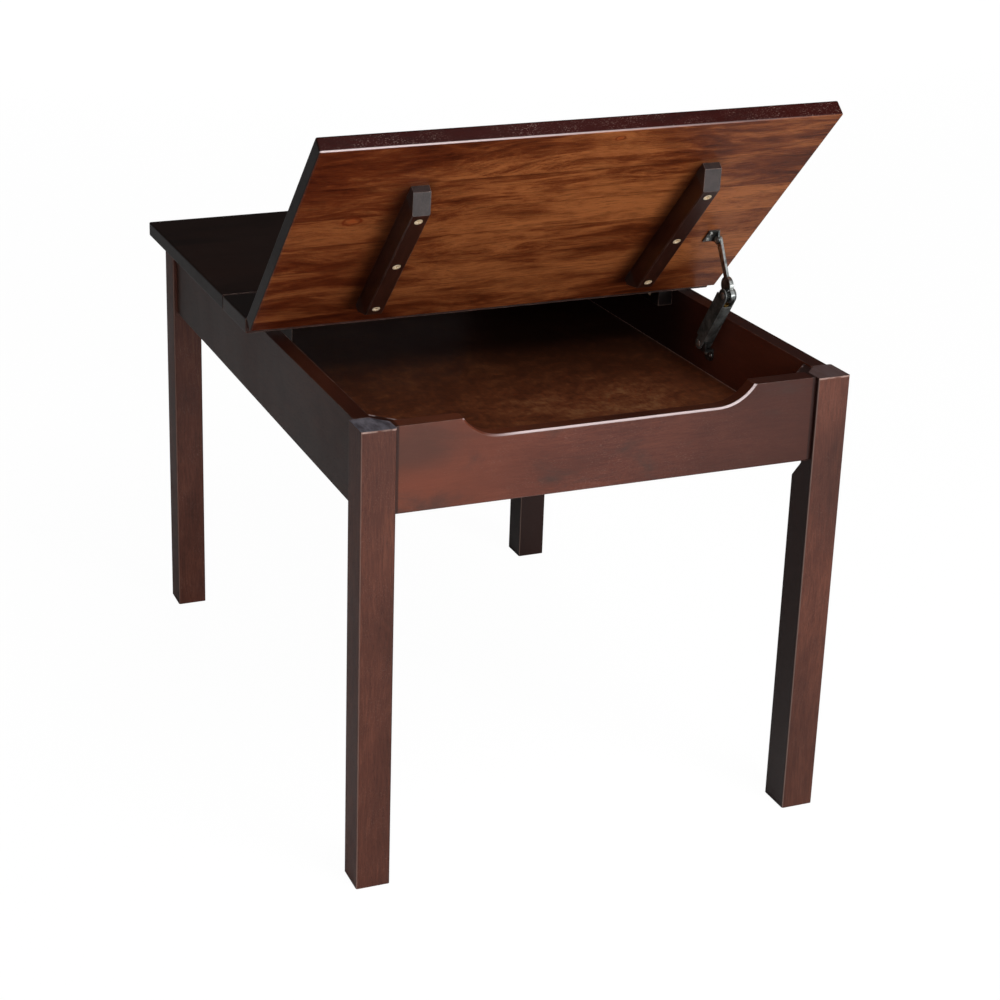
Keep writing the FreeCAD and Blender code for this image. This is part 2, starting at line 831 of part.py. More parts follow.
def frame_nodes():
    """What stands still. Each thing in the front half has its like in the rear half."""
    front, right = apron_front(), apron_right()
    cleat, leaves, foot = centre_cleat(), hinge_fixed_leaves(), stay_foot()
    nodes = {
        "apron_front": front,
        "apron_rear": turned(front),
        "apron_right": right,
        "apron_left": turned(right),
        "hanger_bolts": at_corners(hanger_bolt()),
        "hanger_washers": at_corners(hanger_washer()),
        "hanger_nuts": at_corners(hanger_nut()),
        "corner_block_screws": at_corners(screws(block_screw_places(), block_screw_length)),
        "bin_floor": bin_floor(),
        "centre_cleat_right": cleat,
        "centre_cleat_left": turned(cleat),
        "centre_cleat_screws": centre_cleat_screws(),
        "centre_board": centre_board(),
        "hinge_leaves_centre_front": leaves,
        "hinge_leaves_centre_rear": turned(leaves),
        "stay_foot_front": foot,
        "stay_foot_rear": turned(foot),
    }
    for name, place in corners.items():
        nodes["leg_" + name] = place(leg())
        nodes["corner_block_" + name] = place(corner_block())
    return nodes


def lid_nodes(end, left, right):
    """What a lid carries, closed, in the front half. left and right are its battens' x."""
    return {
        "lid_" + end: lid(),
        "batten_" + end + "_left": batten(left),
        "batten_" + end + "_right": batten(right),
        "batten_screws_" + end: batten_screws(),
        "hinge_leaves_lid_" + end: hinge_lid_leaves(),
        "stay_lid_bracket_" + end: stay_lid_bracket(),
    }


def stay_nodes(end, lid_end, compressed):
    """The links of a stay, in the front half, with the lid pivot at lid_end."""
    joint = elbow(lid_end)
    return {
        "stay_arm_" + end: on_link(stay_arm(), joint, lid_end),
        "stay_housing_" + end: on_link(stay_housing(), foot_pivot, joint),
        "stay_spring_" + end: on_link(stay_spring(compressed), foot_pivot, joint),
        "stay_plunger_" + end: on_link(stay_plunger(compressed), foot_pivot, joint),
    }


def all_nodes():
    nodes = frame_nodes()
    for name, shape in lid_nodes("front", -batten_x, batten_x).items():
        nodes[name] = lifted(shape)
    nodes.update(stay_nodes("front", open_lid_pivot(), compressed=0))
    rear = lid_nodes("rear", batten_x, -batten_x)
    rear.update(stay_nodes("rear", lid_pivot, compressed=1))
    for name, shape in rear.items():
        nodes[name] = turned(shape)
    return nodes


os.makedirs("parts", exist_ok=True)
for node, shape in all_nodes().items():
    shape.exportStep("parts/" + node + ".step")
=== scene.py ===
"""Lift-top end table: its stained wood, its bright hardware, and the studio that it stands in.

Metres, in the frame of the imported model: the origin is on the floor midway between the legs,
X to the right, Y to the rear and Z up. The front lid stands open and the rear lid is closed.
"""

import json
import math

import bpy
import numpy as np
from mathutils import Euler, Matrix, Vector


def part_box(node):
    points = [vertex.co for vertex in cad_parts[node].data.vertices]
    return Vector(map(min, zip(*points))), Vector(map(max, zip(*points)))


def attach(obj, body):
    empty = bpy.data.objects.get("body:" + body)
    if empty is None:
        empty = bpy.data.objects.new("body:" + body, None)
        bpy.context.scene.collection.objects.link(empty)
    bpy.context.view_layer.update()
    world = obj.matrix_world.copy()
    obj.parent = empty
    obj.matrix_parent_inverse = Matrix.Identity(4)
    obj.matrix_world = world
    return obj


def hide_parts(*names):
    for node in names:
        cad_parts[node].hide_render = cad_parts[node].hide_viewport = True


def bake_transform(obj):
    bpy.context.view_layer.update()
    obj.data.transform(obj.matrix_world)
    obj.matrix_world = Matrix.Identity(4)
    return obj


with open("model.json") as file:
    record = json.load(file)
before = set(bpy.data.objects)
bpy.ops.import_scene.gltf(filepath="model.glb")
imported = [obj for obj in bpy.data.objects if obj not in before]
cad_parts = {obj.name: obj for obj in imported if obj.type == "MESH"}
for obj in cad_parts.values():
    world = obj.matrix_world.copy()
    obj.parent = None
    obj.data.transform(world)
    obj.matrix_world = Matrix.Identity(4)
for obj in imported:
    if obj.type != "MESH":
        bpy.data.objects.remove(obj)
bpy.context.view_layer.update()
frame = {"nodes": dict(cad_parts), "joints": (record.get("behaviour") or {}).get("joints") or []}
nodes = frame["nodes"]

MM = 0.001
BLOCK_FRONT = 21.48 * MM  # slanting face of a corner block, from the bin's corner
BATTEN_BEVEL = 20.0 * MM  # length of a batten's sloping end
BATTEN_SCREW_PITCH = 91.0 * MM
SCOOP_DEPTH = 24.0 * MM
ENDS = ("front", "rear")
SIDES = ("left", "right")
CORNERS = [end + "_" + side for end in ENDS for side in SIDES]
OPEN_LID = ENDS[0]
HALF_TURN = Matrix.Rotation(math.pi, 4, "Z")  # takes the front half to the rear half

# ---------------- places, from the frame

joints = {joint["name"]: joint for joint in frame["joints"]}


def joint_place(name):
    return Vector(joints[name]["pos_m"])


hinge = {end: joint_place("hinge_" + end) for end in ENDS}
lid_swing = math.radians(joints["hinge_front"]["range_deg"][1])
leg_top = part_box("leg_front_left")[1].z
top_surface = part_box("centre_board")[1].z
lid_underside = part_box("lid_rear")[0].z
lid_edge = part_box("lid_rear")[1].y  # free edge of a closed lid, from the middle
lid_half_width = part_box("lid_rear")[1].x
apron_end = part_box("apron_front")[1].x
bin_half_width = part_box("apron_right")[0].x
bin_half_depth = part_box("apron_rear")[0].y
block_low, block_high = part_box("corner_block_front_left")
batten_low, batten_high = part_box("batten_rear_left")
batten_length = batten_high.y - batten_low.y
batten_foot = batten_low.z
batten_middle_y = -(batten_high.y + batten_low.y) / 2  # of a closed front lid
batten_x = abs(batten_high.x + batten_low.x) / 2


def half_of(end):
    """Takes a point of the front half to the half of an end."""
    return Matrix.Identity(4) if end == OPEN_LID else HALF_TURN


def closed_to_open(end):
    """Takes a point of a closed lid in the front half to where that lid is at rest."""
    if end == OPEN_LID:
        at = Matrix.Translation(hinge[end])
        return at @ Matrix.Rotation(-lid_swing, 4, "X") @ at.inverted()
    return HALF_TURN


# ---------------- surfaces


def closed_skin(points):
    """Vertices and faces of a closed surface from rings of points: points[ring, step].

    Each ring closes on itself, and the first and last ring are closed by a fan about their middle.
    Faces are turned outwards by the sign of the volume, the sum of a . (b x c) / 6.
    """
    count, steps = points.shape[:2]
    middles = np.array([points[0].mean(0), points[-1].mean(0)])
    vertices = np.concatenate([points.reshape(-1, 3), middles])
    ring, step = np.meshgrid(np.arange(count - 1), np.arange(steps), indexing="ij")
    after = (step + 1) % steps
    quads = np.stack([ring * steps + step, ring * steps + after, (ring + 1) * steps + after,
                      (ring + 1) * steps + step], -1).reshape(-1, 4)
    edge = np.arange(steps)
    beyond = (edge + 1) % steps
    last = (count - 1) * steps
    fans = np.concatenate([
        np.stack([np.full(steps, count * steps), beyond, edge], -1),
        np.stack([np.full(steps, count * steps + 1), last + edge, last + beyond], -1),
    ])
    triangles = np.concatenate([quads[:, [0, 1, 2]], quads[:, [0, 2, 3]], fans])
    a, b, c = (vertices[triangles[:, k]] for k in range(3))
    if np.einsum("ij,ij->i", a, np.cross(b, c)).sum() < 0:
        quads, fans = quads[:, ::-1], fans[:, ::-1]
    return vertices, quads.tolist() + fans.tolist()


def around(steps):
    """Angles of equal steps once round."""
    return np.linspace(0, 2 * math.pi, steps, endpoint=False)


def rings(radius, angle, height):
    """Points (radius cos t, radius sin t, height) of arrays that spread over each other."""
    return np.stack(np.broadcast_arrays(radius * np.cos(angle), radius * np.sin(angle), height), -1)


def placed(skin, transform):
    """A skin moved by a 4x4 transform that turns and shifts it."""
    vertices, faces = skin
    turn = np.array(transform)
    return vertices @ turn[:3, :3].T + turn[:3, 3], faces


def aim(place, direction):
    """Transform from the origin and +Z to a place and a direction."""
    turn = Vector(direction).to_track_quat("Z", "Y").to_matrix().to_4x4()
    return Matrix.Translation(Vector(place)) @ turn


def new_object(name, data):
    made = bpy.data.objects.new(name, data)
    bpy.context.scene.collection.objects.link(made)
    return made


CREASE = math.radians(40)


def piece(name, skins, body, material):
    """One object of several skins that rides on a body. Edges bent more than CREASE stay sharp."""
    vertices, faces, count = [], [], 0
    for skin_vertices, skin_faces in skins:
        vertices.append(skin_vertices)
        faces += [[index + count for index in face] for face in skin_faces]
        count += len(skin_vertices)
    mesh = bpy.data.meshes.new(name)
    mesh.from_pydata(np.concatenate(vertices).tolist(), [], faces)
    mesh.shade_smooth()
    mesh.set_sharp_from_angle(angle=CREASE)
    mesh.materials.append(material)
    made = new_object(name, mesh)
    if body:
        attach(made, body)
    return made


def turned_surface(profile, steps=32):
    """Surface of revolution about Z: (r cos t, r sin t, z) for each (r, z) of the profile."""
    radius, height = np.array(profile, float).T[:, :, None]
    return closed_skin(rings(radius, around(steps), height))


def smooth_step(value):
    """3v^2 - 2v^3 between 0 and 1."""
    value = np.clip(value, 0, 1)
    return value * value * (3 - 2 * value)


SCREW_STEPS = 48
SCREW_HEAD = 4.5 * MM
SCREW_SHANK = 2.0 * MM
SCREW_DOME = 0.3 * MM
RECESS_REACH = 0.62  # of the head's radius


def cross_recess(x, y, reach, depth):
    """Depth of a cross-shaped driver recess: two crossed slots that slope in to the middle."""
    width = reach * 0.24

    def slot_depth(along, across):
        side = 1 - smooth_step((np.abs(across) - width * 0.55) / (width * 0.6))
        end = 1 - smooth_step((np.abs(along) - reach * 0.35) / (reach * 0.65))
        return side * end

    return depth * np.maximum(slot_depth(x, y), slot_depth(y, x))


def thread(along, angle, pitch, depth):
    """Share of a rod's radius along a helical thread, 1 - depth |2 frac(z / pitch - t / 2 pi) - 1|."""
    turns = along / pitch - angle / (2 * math.pi)
    return 1 - depth * np.abs(2 * (turns - np.floor(turns)) - 1)


def screw_skin(head, length):
    """Countersunk screw down +Z with its head's face at the origin.

    Rings run out over the head, down its cone and along the threaded shank to a point. The head's
    face is a shallow cap, dome r^2 / head^2, less the driver's cross.
    """
    angle = around(SCREW_STEPS)
    face = head * np.linspace(0.02, 0.96, 22)[:, None]
    recess = cross_recess(face * np.cos(angle), face * np.sin(angle), head * RECESS_REACH, head * 0.55)
    rows = [rings(face, angle, SCREW_DOME * (face / head) ** 2 + recess)]
    neck = head - SCREW_SHANK
    for radius, height in ((head, SCREW_DOME + 0.05 * head), (SCREW_SHANK, SCREW_DOME + neck)):
        rows.append(rings(radius, angle, height)[None])
    pitch = SCREW_SHANK * 0.9
    along = np.linspace(neck + pitch, length, max(8, int(length / pitch * 6)))[:, None]
    taper = np.minimum(1, (length - along) / (2.5 * SCREW_SHANK) + 0.08)
    rows.append(rings(SCREW_SHANK * thread(along, angle, pitch, 0.22) * taper, angle, along))
    return closed_skin(np.concatenate(rows))


def screw_head(head, height):
    """Flush head facing +Z: z = height sqrt(1 - 0.85 (r / head)^6), less the driver's cross."""
    angle = around(SCREW_STEPS)
    face = head * np.linspace(0.02, 1.0, 22)[:, None]
    rise = height * np.sqrt(np.clip(1 - 0.85 * (face / head) ** 6, 0, 1))
    recess = cross_recess(face * np.cos(angle), face * np.sin(angle), head * RECESS_REACH, height * 1.5)
    return closed_skin(np.concatenate([rings(face, angle, rise - recess), rings(head, angle, -height)[None]]))


def rivet_head(radius, height):
    """Peened head facing +Z: z = height (1 - (r / radius)^3) with a small flat punched middle."""
    share = np.linspace(0.03, 1, 14)
    rise = height * np.minimum(1 - share**3, 0.93)
    profile = [(radius * s, z) for s, z in zip(share, rise)]
    return turned_surface(profile + [(radius * 0.98, -0.4 * MM)])


def threaded_rod(radius, length, pitch):
    """Rod along +Z: its radius is the thread's share, times 0.8 at both ends and 1 between them."""
    angle = around(24)
    along = np.linspace(0, length, int(length / pitch * 5))[:, None]
    end = np.clip(np.minimum(along, length - along) / (0.6 * pitch), 0, 1)
    share = thread(along, angle, pitch, 0.16) * (0.8 + 0.2 * end)
    return closed_skin(rings(radius * share, angle, along))


def nut_skin(across_flats, height, bore):
    """Hexagon nut on +Z: a six-sided outline whose corners a cone cuts back at both faces.

    Outline radius at angle t is (across_flats / 2) / cos(t mod 60 deg - 30 deg), and no more than
    the chamfer circle, which grows from 0.94 of the half width at a face to the full corner.
    """
    angle = around(96)
    half = across_flats / 2
    hexagon = half / np.cos((angle % (math.pi / 3)) - math.pi / 6)
    corner = half / math.cos(math.pi / 6)
    chamfer = half * 0.94
    outline = ((bore, 0), (chamfer, 0), (corner, 0.16), (corner, 0.84), (chamfer, 1), (bore, 1))
    rows = [rings(np.minimum(hexagon, radius), angle, z * height) for radius, z in outline]
    return closed_skin(np.array(rows))


def coil_spring(coil, wire, length, turns):
    """Compression spring along +Y from the origin, with a closed turn at each end.

    The wire's centre is (coil cos u, length w(u), coil sin u), where w eases at both ends. Each
    ring of the wire lies square to that path.
    """
    sweep = np.linspace(0, 1, turns * 28)
    turn = 2 * math.pi * turns * sweep
    ease = 1.0 / turns
    rise = np.clip((sweep - ease) / (1 - 2 * ease), 0, 1)
    flat = wire * 2.1 / length
    share = flat * np.minimum(sweep / ease, 1) + (1 - 2 * flat) * rise
    share = share + flat * np.maximum((sweep - 1 + ease) / ease, 0)
    y = wire + (length - 2 * wire) * share
    centre = np.stack([coil * np.cos(turn), y, coil * np.sin(turn)], -1)
    ahead = np.gradient(centre, axis=0)
    ahead /= np.linalg.norm(ahead, axis=1, keepdims=True)
    out = np.stack([np.cos(turn), np.zeros_like(turn), np.sin(turn)], -1)
    side = np.cross(ahead, out)
    angle = around(10)
    ring = wire * (np.cos(angle)[:, None] * out[:, None] + np.sin(angle)[:, None] * side[:, None])
    return closed_skin(centre[:, None] + ring)


# ---------------- building materials


class Maker:
    """Short ways to add nodes to one tree."""

    def __init__(self, tree):
        self.tree = tree

    def add(self, kind, inputs=(), output=0, **settings):
        """A node with its settings, and with each input given a value or a socket to follow."""
        node = self.tree.nodes.new(kind)
        for key, value in settings.items():
            setattr(node, key, value)
        self.fill(node, dict(inputs))
        return node.outputs[output]

    def grouped(self, group, **inputs):
        """A shader node group placed in this tree, with its inputs by name."""
        node = self.tree.nodes.new("ShaderNodeGroup")
        node.node_tree = group
        self.fill(node, {key.capitalize(): value for key, value in inputs.items()})
        return node.outputs

    def fill(self, node, inputs):
        for key, value in inputs.items():
            if isinstance(value, bpy.types.NodeSocket):
                self.link(value, node.inputs[key])
            else:
                node.inputs[key].default_value = value

    def link(self, value, socket):
        self.tree.links.new(value, socket)

    def give(self, sockets, **values):
        """Links a group's results to its output sockets by name, and returns the finished tree."""
        for key, value in values.items():
            self.link(value, sockets[key])
        return self.tree

    def maths(self, operation, first, second=0.0, third=0.0, clamp=False):
        inputs = {0: first, 1: second, 2: third}
        return self.add("ShaderNodeMath", inputs, operation=operation, use_clamp=clamp)

    def plus(self, first, second):
        return self.maths("ADD", first, second)

    def minus(self, first, second):
        return self.maths("SUBTRACT", first, second)

    def times(self, first, *others):
        """Product of two or more values."""
        for other in others:
            first = self.maths("MULTIPLY", first, other)
        return first

    def weighed(self, value, weight, rest):
        """value * weight + rest."""
        return self.maths("MULTIPLY_ADD", value, weight, rest)

    def size(self, value):
        """The value without its sign."""
        return self.maths("ABSOLUTE", value)

    def above(self, value, limit):
        return self.maths("GREATER_THAN", value, limit)

    def under(self, value, limit):
        return self.maths("LESS_THAN", value, limit)

    def distance(self, x, y, z):
        """Length of the vector (x, y, z)."""
        inputs = {0: self.combined(x, y, z)}
        return self.add("ShaderNodeVectorMath", inputs, "Value", operation="LENGTH")

    def between(self, value, low, high):
        """0 below low and 1 above high, with a smooth rise. low may be above high."""
        inputs = {"Value": value, "From Min": low, "From Max": high}
        return self.add("ShaderNodeMapRange", inputs, interpolation_type="SMOOTHSTEP")

    def past(self, value, edge, low, high):
        """Like between, with its limits in millimetres past an edge."""
        return self.between(value, edge + low * MM, edge + high * MM)

    def mixed(self, share, first, second):
        return self.add("ShaderNodeMix", {0: share, 6: first, 7: second}, 2, data_type="RGBA")

    def laid(self, face, *coats):
        """A face with colours laid over it in turn. Each coat is a colour, a mask and a strength."""
        for over, mask, strength in coats:
            face = self.mixed(self.times(mask, strength), face, over)
        return face

    def noise(self, vector, scale, detail=4.0, roughness=0.55, distortion=0.0, place=(0, 0, 0)):
        """Grey noise. scale is one number, or one for each axis with a shift to a place."""
        if isinstance(scale, tuple):
            vector = self.moved(vector, place, scale=scale)
            scale = 1.0
        inputs = {"Vector": vector, "Scale": scale, "Detail": detail, "Roughness": roughness,
                  "Distortion": distortion}
        return self.add("ShaderNodeTexNoise", inputs)

    def moved(self, vector, place=(0, 0, 0), turn=(0, 0, 0), scale=(1, 1, 1)):
        inputs = {"Vector": vector, "Location": place, "Rotation": turn, "Scale": scale}
        return self.add("ShaderNodeMapping", inputs)

    def split(self, vector):
        separate = self.tree.nodes.new("ShaderNodeSeparateXYZ")
        self.link(vector, separate.inputs[0])
        return separate.outputs

    def combined(self, x, y, z):
        return self.add("ShaderNodeCombineXYZ", {0: x, 1: y, 2: z})

    def place(self):
        """Object coordinates."""
        return self.add("ShaderNodeTexCoord", output="Object")

    def facing(self):
        """X, Y and Z of the surface's normal."""
        return self.split(self.add("ShaderNodeNewGeometry", output="Normal"))


def new_group(name, inputs, outputs):
    """Maker of an empty node group, with its sockets' names and kinds, and those sockets."""
    tree = bpy.data.node_groups.new(name, "ShaderNodeTree")
    for way, sockets in (("INPUT", inputs), ("OUTPUT", outputs)):
        for socket, kind in sockets.items():
            tree.interface.new_socket(socket, in_out=way, socket_type="NodeSocket" + kind)
    return Maker(tree), tree.nodes.new("NodeGroupInput").outputs, tree.nodes.new("NodeGroupOutput").inputs


def build_grain():
    """Grain of a plain hardwood. Its vector has X along the grain, in metres."""
    make, given, out = new_group(
        "hardwood_grain", {"Vector": "Vector", "Waviness": "Float"},
        {"Figure": "Float", "Streaks": "Float", "Fibre": "Float", "Pores": "Float", "Cloud": "Float"},
    )
    drift = make.noise(given["Vector"], (3.2, 7, 7), 2.0)
    sideways = make.times(make.minus(drift, 0.5), given["Waviness"])
    x, y, z = make.split(given["Vector"])
    bent = make.combined(x, make.plus(y, sideways), make.plus(z, sideways))
    short = make.noise(bent, (130, 1500, 1500), 2.0, 0.5)
    return make.give(
        out,
        Figure=make.noise(bent, (8.5, 46, 46), 8.0, 0.67, 0.8),
        Streaks=make.noise(bent, (24, 400, 400), 5.0, 0.7, 0.3),
        Fibre=make.noise(bent, (40, 720, 720), 3.0, 0.7),
        Pores=make.between(short, 0.60, 0.70),
        Cloud=make.noise(given["Vector"], (6, 11, 11), 4.0, 0.55, 0.3),
    )


def build_arris():
    """Where an arris is, from the bevelled normal: a mask for thin stain and a painted highlight, and that
    normal.
    """
    make, given, out = new_group(
        "eased_arris", {"Radius": "Float", "Vector": "Vector"}, {"Mask": "Float", "Normal": "Vector"},
    )
    rounded = make.add("ShaderNodeBevel", {"Radius": given["Radius"]}, samples=4)
    flat = make.add("ShaderNodeNewGeometry", output="True Normal")
    same = make.add("ShaderNodeVectorMath", {0: rounded, 1: flat}, "Value", operation="DOT_PRODUCT")
    uneven = make.noise(given["Vector"], 60.0, 3.0)
    mask = make.times(make.between(same, 0.995, 0.85), make.between(uneven, 0.25, 0.75))
    return make.give(out, Mask=mask, Normal=rounded)


def build_knot():
    """A small knot on the XY plane: masks of its ring and core, and the bend of the grain round it."""
    make, given, out = new_group(
        "small_knot", {"Vector": "Vector", "Centre": "Vector", "Size": "Float"},
        {"Ring": "Float", "Core": "Float", "Bend": "Float"},
    )
    away = make.add("ShaderNodeVectorMath", {0: given["Vector"], 1: given["Centre"]}, operation="SUBTRACT")
    x, y = make.split(away)[:2]
    share = make.maths("DIVIDE", make.distance(make.times(x, 0.62), y, 0.0), given["Size"])
    ripple = make.noise(given["Vector"], 160.0, 2.0)
    share = make.plus(share, make.times(make.minus(ripple, 0.5), 0.7))
    return make.give(
        out,
        Ring=make.times(make.between(share, 1.35, 1.0), make.between(share, 0.6, 0.95)),
        Core=make.between(share, 0.75, 0.35),
        Bend=make.times(make.between(share, 5.0, 0.6), make.times(y, -0.7)),
    )


def build_smudges():
    """Dust and hand marks that change the shine: a cloudy value and fine specks."""
    make, given, out = new_group("smudges", {"Vector": "Vector"}, {"Haze": "Float", "Specks": "Float"})
    dashes = make.noise(given["Vector"], (450, 1500, 1500), 1.0)
    patches = make.noise(given["Vector"], 30.0, 3.0)
    specks = make.times(make.between(dashes, 0.60, 0.70), make.between(patches, 0.34, 0.66))
    return make.give(out, Haze=make.noise(given["Vector"], 7.0, 5.0, 0.6, 0.8), Specks=specks)


GRAIN = build_grain()
ARRIS = build_arris()
KNOT = build_knot()
SMUDGES = build_smudges()


def new_material(name, coat, coat_roughness, shine=0.5, metallic=0.0):
    """A material with one Principled shader, its maker and the shader's sockets."""
    material = bpy.data.materials.new(name)
    material.use_nodes = True
    sockets = material.node_tree.nodes["Principled BSDF"].inputs
    sockets["Coat Weight"].default_value = coat
    sockets["Coat Roughness"].default_value = coat_roughness
    sockets["Specular IOR Level"].default_value = shine
    sockets["Metallic"].default_value = metallic
    return material, Maker(material.node_tree), sockets


def reopened(material):
    """A material's maker, the socket of its colour and the colour that it has so far."""
    socket = material.node_tree.nodes["Principled BSDF"].inputs["Base Color"]
    return Maker(material.node_tree), socket, socket.links[0].from_socket


def colour(red, green, blue):
    """Shader colour from the 0 to 255 values that a swatch would have."""
    shares = [value / 255 for value in (red, green, blue)]
    linear = [s / 12.92 if s <= 0.04045 else ((s + 0.055) / 1.055) ** 2.4 for s in shares]
    return (*linear, 1.0)


# ---------------- wood

STAIN_DEEP = colour(38, 17, 12)
STAIN_RED = colour(92, 45, 33)
STAIN_LIGHT = colour(124, 68, 50)
# pale colour of worn stain and specks, also laid on arrises as a painted highlight
PALE_WEAR_AND_HIGHLIGHT = colour(196, 164, 152)
# painted shade and painted light of the front apron's left to right gradient
PAINTED_SHADE_TONE = colour(64, 28, 18)
PAINTED_LIGHT_TONE = colour(134, 68, 44)
STAIN_GREY = colour(62, 44, 38)
# grey of the aprons' outer faces: a painted sheen
GREY_SHEEN_OUTSIDE = colour(36, 31, 24)
STAIN_INSIDE = colour(118, 64, 46)
# near-white colour of painted highlights on arrises
PAINTED_HIGHLIGHT_WHITE = colour(232, 212, 212)
LEG_BROWN = colour(95, 51, 38)
LEG_LIGHT = colour(134, 80, 60)
# blue-grey tones of the leg tops: end grain with a painted reflection
END_SHEEN_DARK = colour(72, 72, 80)
END_SHEEN_PALE = colour(132, 132, 142)
END_BROWN = colour(104, 76, 68)
BLOCK_BROWN = colour(58, 36, 32)
BLOCK_LIGHT = colour(86, 66, 62)
CLEAT_DEEP = colour(9, 6, 5)
CLEAT_BROWN = colour(20, 12, 10)
TOP_DEEP = colour(20, 11, 9)
TOP_BROWN = colour(46, 27, 21)
EDGE_DEEP = colour(32, 9, 6)
EDGE_RED = colour(56, 9, 5)
SAWN_END = colour(38, 26, 22)
UNDER_DEEP = colour(46, 14, 6)
UNDER_WARM = colour(116, 54, 25)
UNDER_PALE = colour(182, 108, 60)
UNDER_RED = colour(86, 24, 10)
KNOT_RED = colour(112, 38, 12)
KNOT_CORE = colour(164, 78, 38)
BATTEN_BROWN = colour(66, 34, 24)
# grey of the batten ends: end grain with a painted sheen
BATTEN_END_SHEEN_DARK = colour(44, 39, 38)
BATTEN_END_SHEEN_GREY = colour(67, 61, 61)
# darker ring round each screw head
SCREW_RING_DARK = colour(16, 8, 6)
PANEL_DARK = colour(88, 48, 31)
PANEL_BROWN = colour(128, 74, 46)
PANEL_TAN = colour(160, 112, 74)
# colour of the panel's painted shade towards the rear
PANEL_PAINTED_SHADE = colour(34, 22, 18)
PANEL_RAW_DARK = colour(52, 30, 22)
PANEL_RAW = colour(76, 46, 32)


def grain_along(axis):
    """Turn that brings the grain's direction to X."""
    turns = {"X": (0, 0, 0), "Y": (0, 0, -math.pi / 2), "Z": (0, math.pi / 2, 0)}
    return Euler(turns[axis]).to_matrix().to_4x4()


def follow(make, transform):
    """Object coordinates carried through a transform, as one Mapping node."""
    place, turn = transform.decompose()[:2]
    return make.moved(make.place(), tuple(place), tuple(turn.to_euler("XYZ")))


def wood_patterns(make, along, vector, waviness, radius):
    """Grain along one vector, and the arrises and marks at another."""
    grain = make.grouped(GRAIN, vector=along, waviness=waviness)
    arris = make.grouped(ARRIS, vector=vector, radius=radius)
    return grain, arris, make.grouped(SMUDGES, vector=vector)


def grain_tone(make, grain, rest, **weights):
    """The grain's patterns, each times its weight, added to the rest."""
    for pattern, weight in weights.items():
        rest = make.weighed(grain[pattern], weight, rest)
    return rest


def satin(make, sockets, face, patterns, gloss, relief=0.35):
    """A face under a thin satin lacquer, whose roughness and relief follow the open grain."""
    grain, arris, marks = patterns
    rough = make.weighed(marks["Haze"], 0.22, gloss)
    rough = make.weighed(grain["Pores"], 0.10, rough)
    rough = make.minus(rough, make.times(arris["Mask"], 0.06))
    height = grain_tone(make, grain, grain["Figure"], Fibre=0.6)
    height = make.minus(height, make.times(grain["Pores"], 1.2))
    inputs = {"Height": height, "Normal": arris["Normal"], "Strength": relief, "Distance": 0.12 * MM}
    make.link(make.add("ShaderNodeBump", inputs), sockets["Normal"])
    make.link(rough, sockets["Roughness"])
    make.link(face, sockets["Base Color"])


def stained_board(name, along, shift=(0, 0, 0), deep=STAIN_DEEP, body=STAIN_RED, light=STAIN_LIGHT,
                  gloss=0.3):
    """Board of the base: reddish brown stain, dark in the pores and clouds, thin on the arrises with a
    painted highlight there, and darker on faces turned up as painted shade.
    """
    material, make, sockets = new_material(name, 0.12, 0.28, 0.3)
    vector = follow(make, Matrix.Translation(shift) @ grain_along(along))
    patterns = wood_patterns(make, vector, vector, 0.05, 1.6 * MM)
    grain, arris, marks = patterns
    tone = grain_tone(make, grain, 0.0, Figure=0.35, Cloud=0.8, Streaks=0.45, Fibre=0.4)
    face = make.mixed(make.between(tone, 0.45, 1.15), deep, body)
    face = make.mixed(make.between(tone, 0.95, 1.45), face, light)
    # Painted shade: faces turned up are darkened.
    top_shade_mask = make.between(make.facing()[2], 0.6, 0.95)
    # Pores and specks are the wood's own; the arrises get thin stain with a painted highlight.
    face = make.laid(
        face, (deep, grain["Pores"], 0.4), (PALE_WEAR_AND_HIGHLIGHT, marks["Specks"], 0.12), (deep, top_shade_mask, 0.75),
        (PALE_WEAR_AND_HIGHLIGHT, arris["Mask"], 0.7),
    )
    satin(make, sockets, face, patterns, gloss)
    return material


def leg_wood():
    """Leg: grain up the leg, end grain with a painted grey sheen, painted highlights on the front arrises,
    and painted shade on faces towards the middle, low on the right legs and over the rear right leg.
    """
    material = stained_board("stained_leg", "Z", body=LEG_BROWN, light=LEG_LIGHT)
    make, socket, sides = reopened(material)
    x, y, z = make.split(make.place())
    facing = make.facing()
    on_right = make.above(x, 0.0)
    year_rings = make.noise(make.place(), (160, 60, 1), 3.0)
    # Leg tops: end grain in blue-grey, a painted reflection.
    end = make.mixed(make.between(year_rings, 0.25, 0.75), END_SHEEN_DARK, END_SHEEN_PALE)
    end = make.laid(end, (END_BROWN, on_right, 0.75))
    front_arris = make.between(make.times(facing[0], facing[1]), 0.25, 0.48)
    # Painted shade on faces turned to the middle, low on the right legs and over the rear right leg; a
    # painted highlight on the front vertical arrises.
    sides = make.laid(
        sides, (STAIN_DEEP, make.between(make.times(x, facing[0]), -0.04, -0.2), 0.92),
        (STAIN_DEEP, make.times(make.between(z, 0.32, 0.05), on_right), 0.36),
        (STAIN_DEEP, make.times(on_right, make.above(y, 0.0)), 0.9),
        (PALE_WEAR_AND_HIGHLIGHT, make.times(front_arris, make.under(facing[1], 0.0)), 0.3),
    )
    face = make.mixed(make.between(make.size(facing[2]), 0.8, 0.97), sides, end)
    # Painted highlight along the top arris of each leg's front face.
    top_highlight = make.times(
        make.past(z, leg_top, -2.4, -1.2), make.under(facing[1], -0.5),
        make.between(make.noise(make.place(), 90.0, 3.0), 0.3, 0.6),
    )
    make.link(make.laid(face, (PALE_WEAR_AND_HIGHLIGHT, top_highlight, 0.7)), socket)
    return material


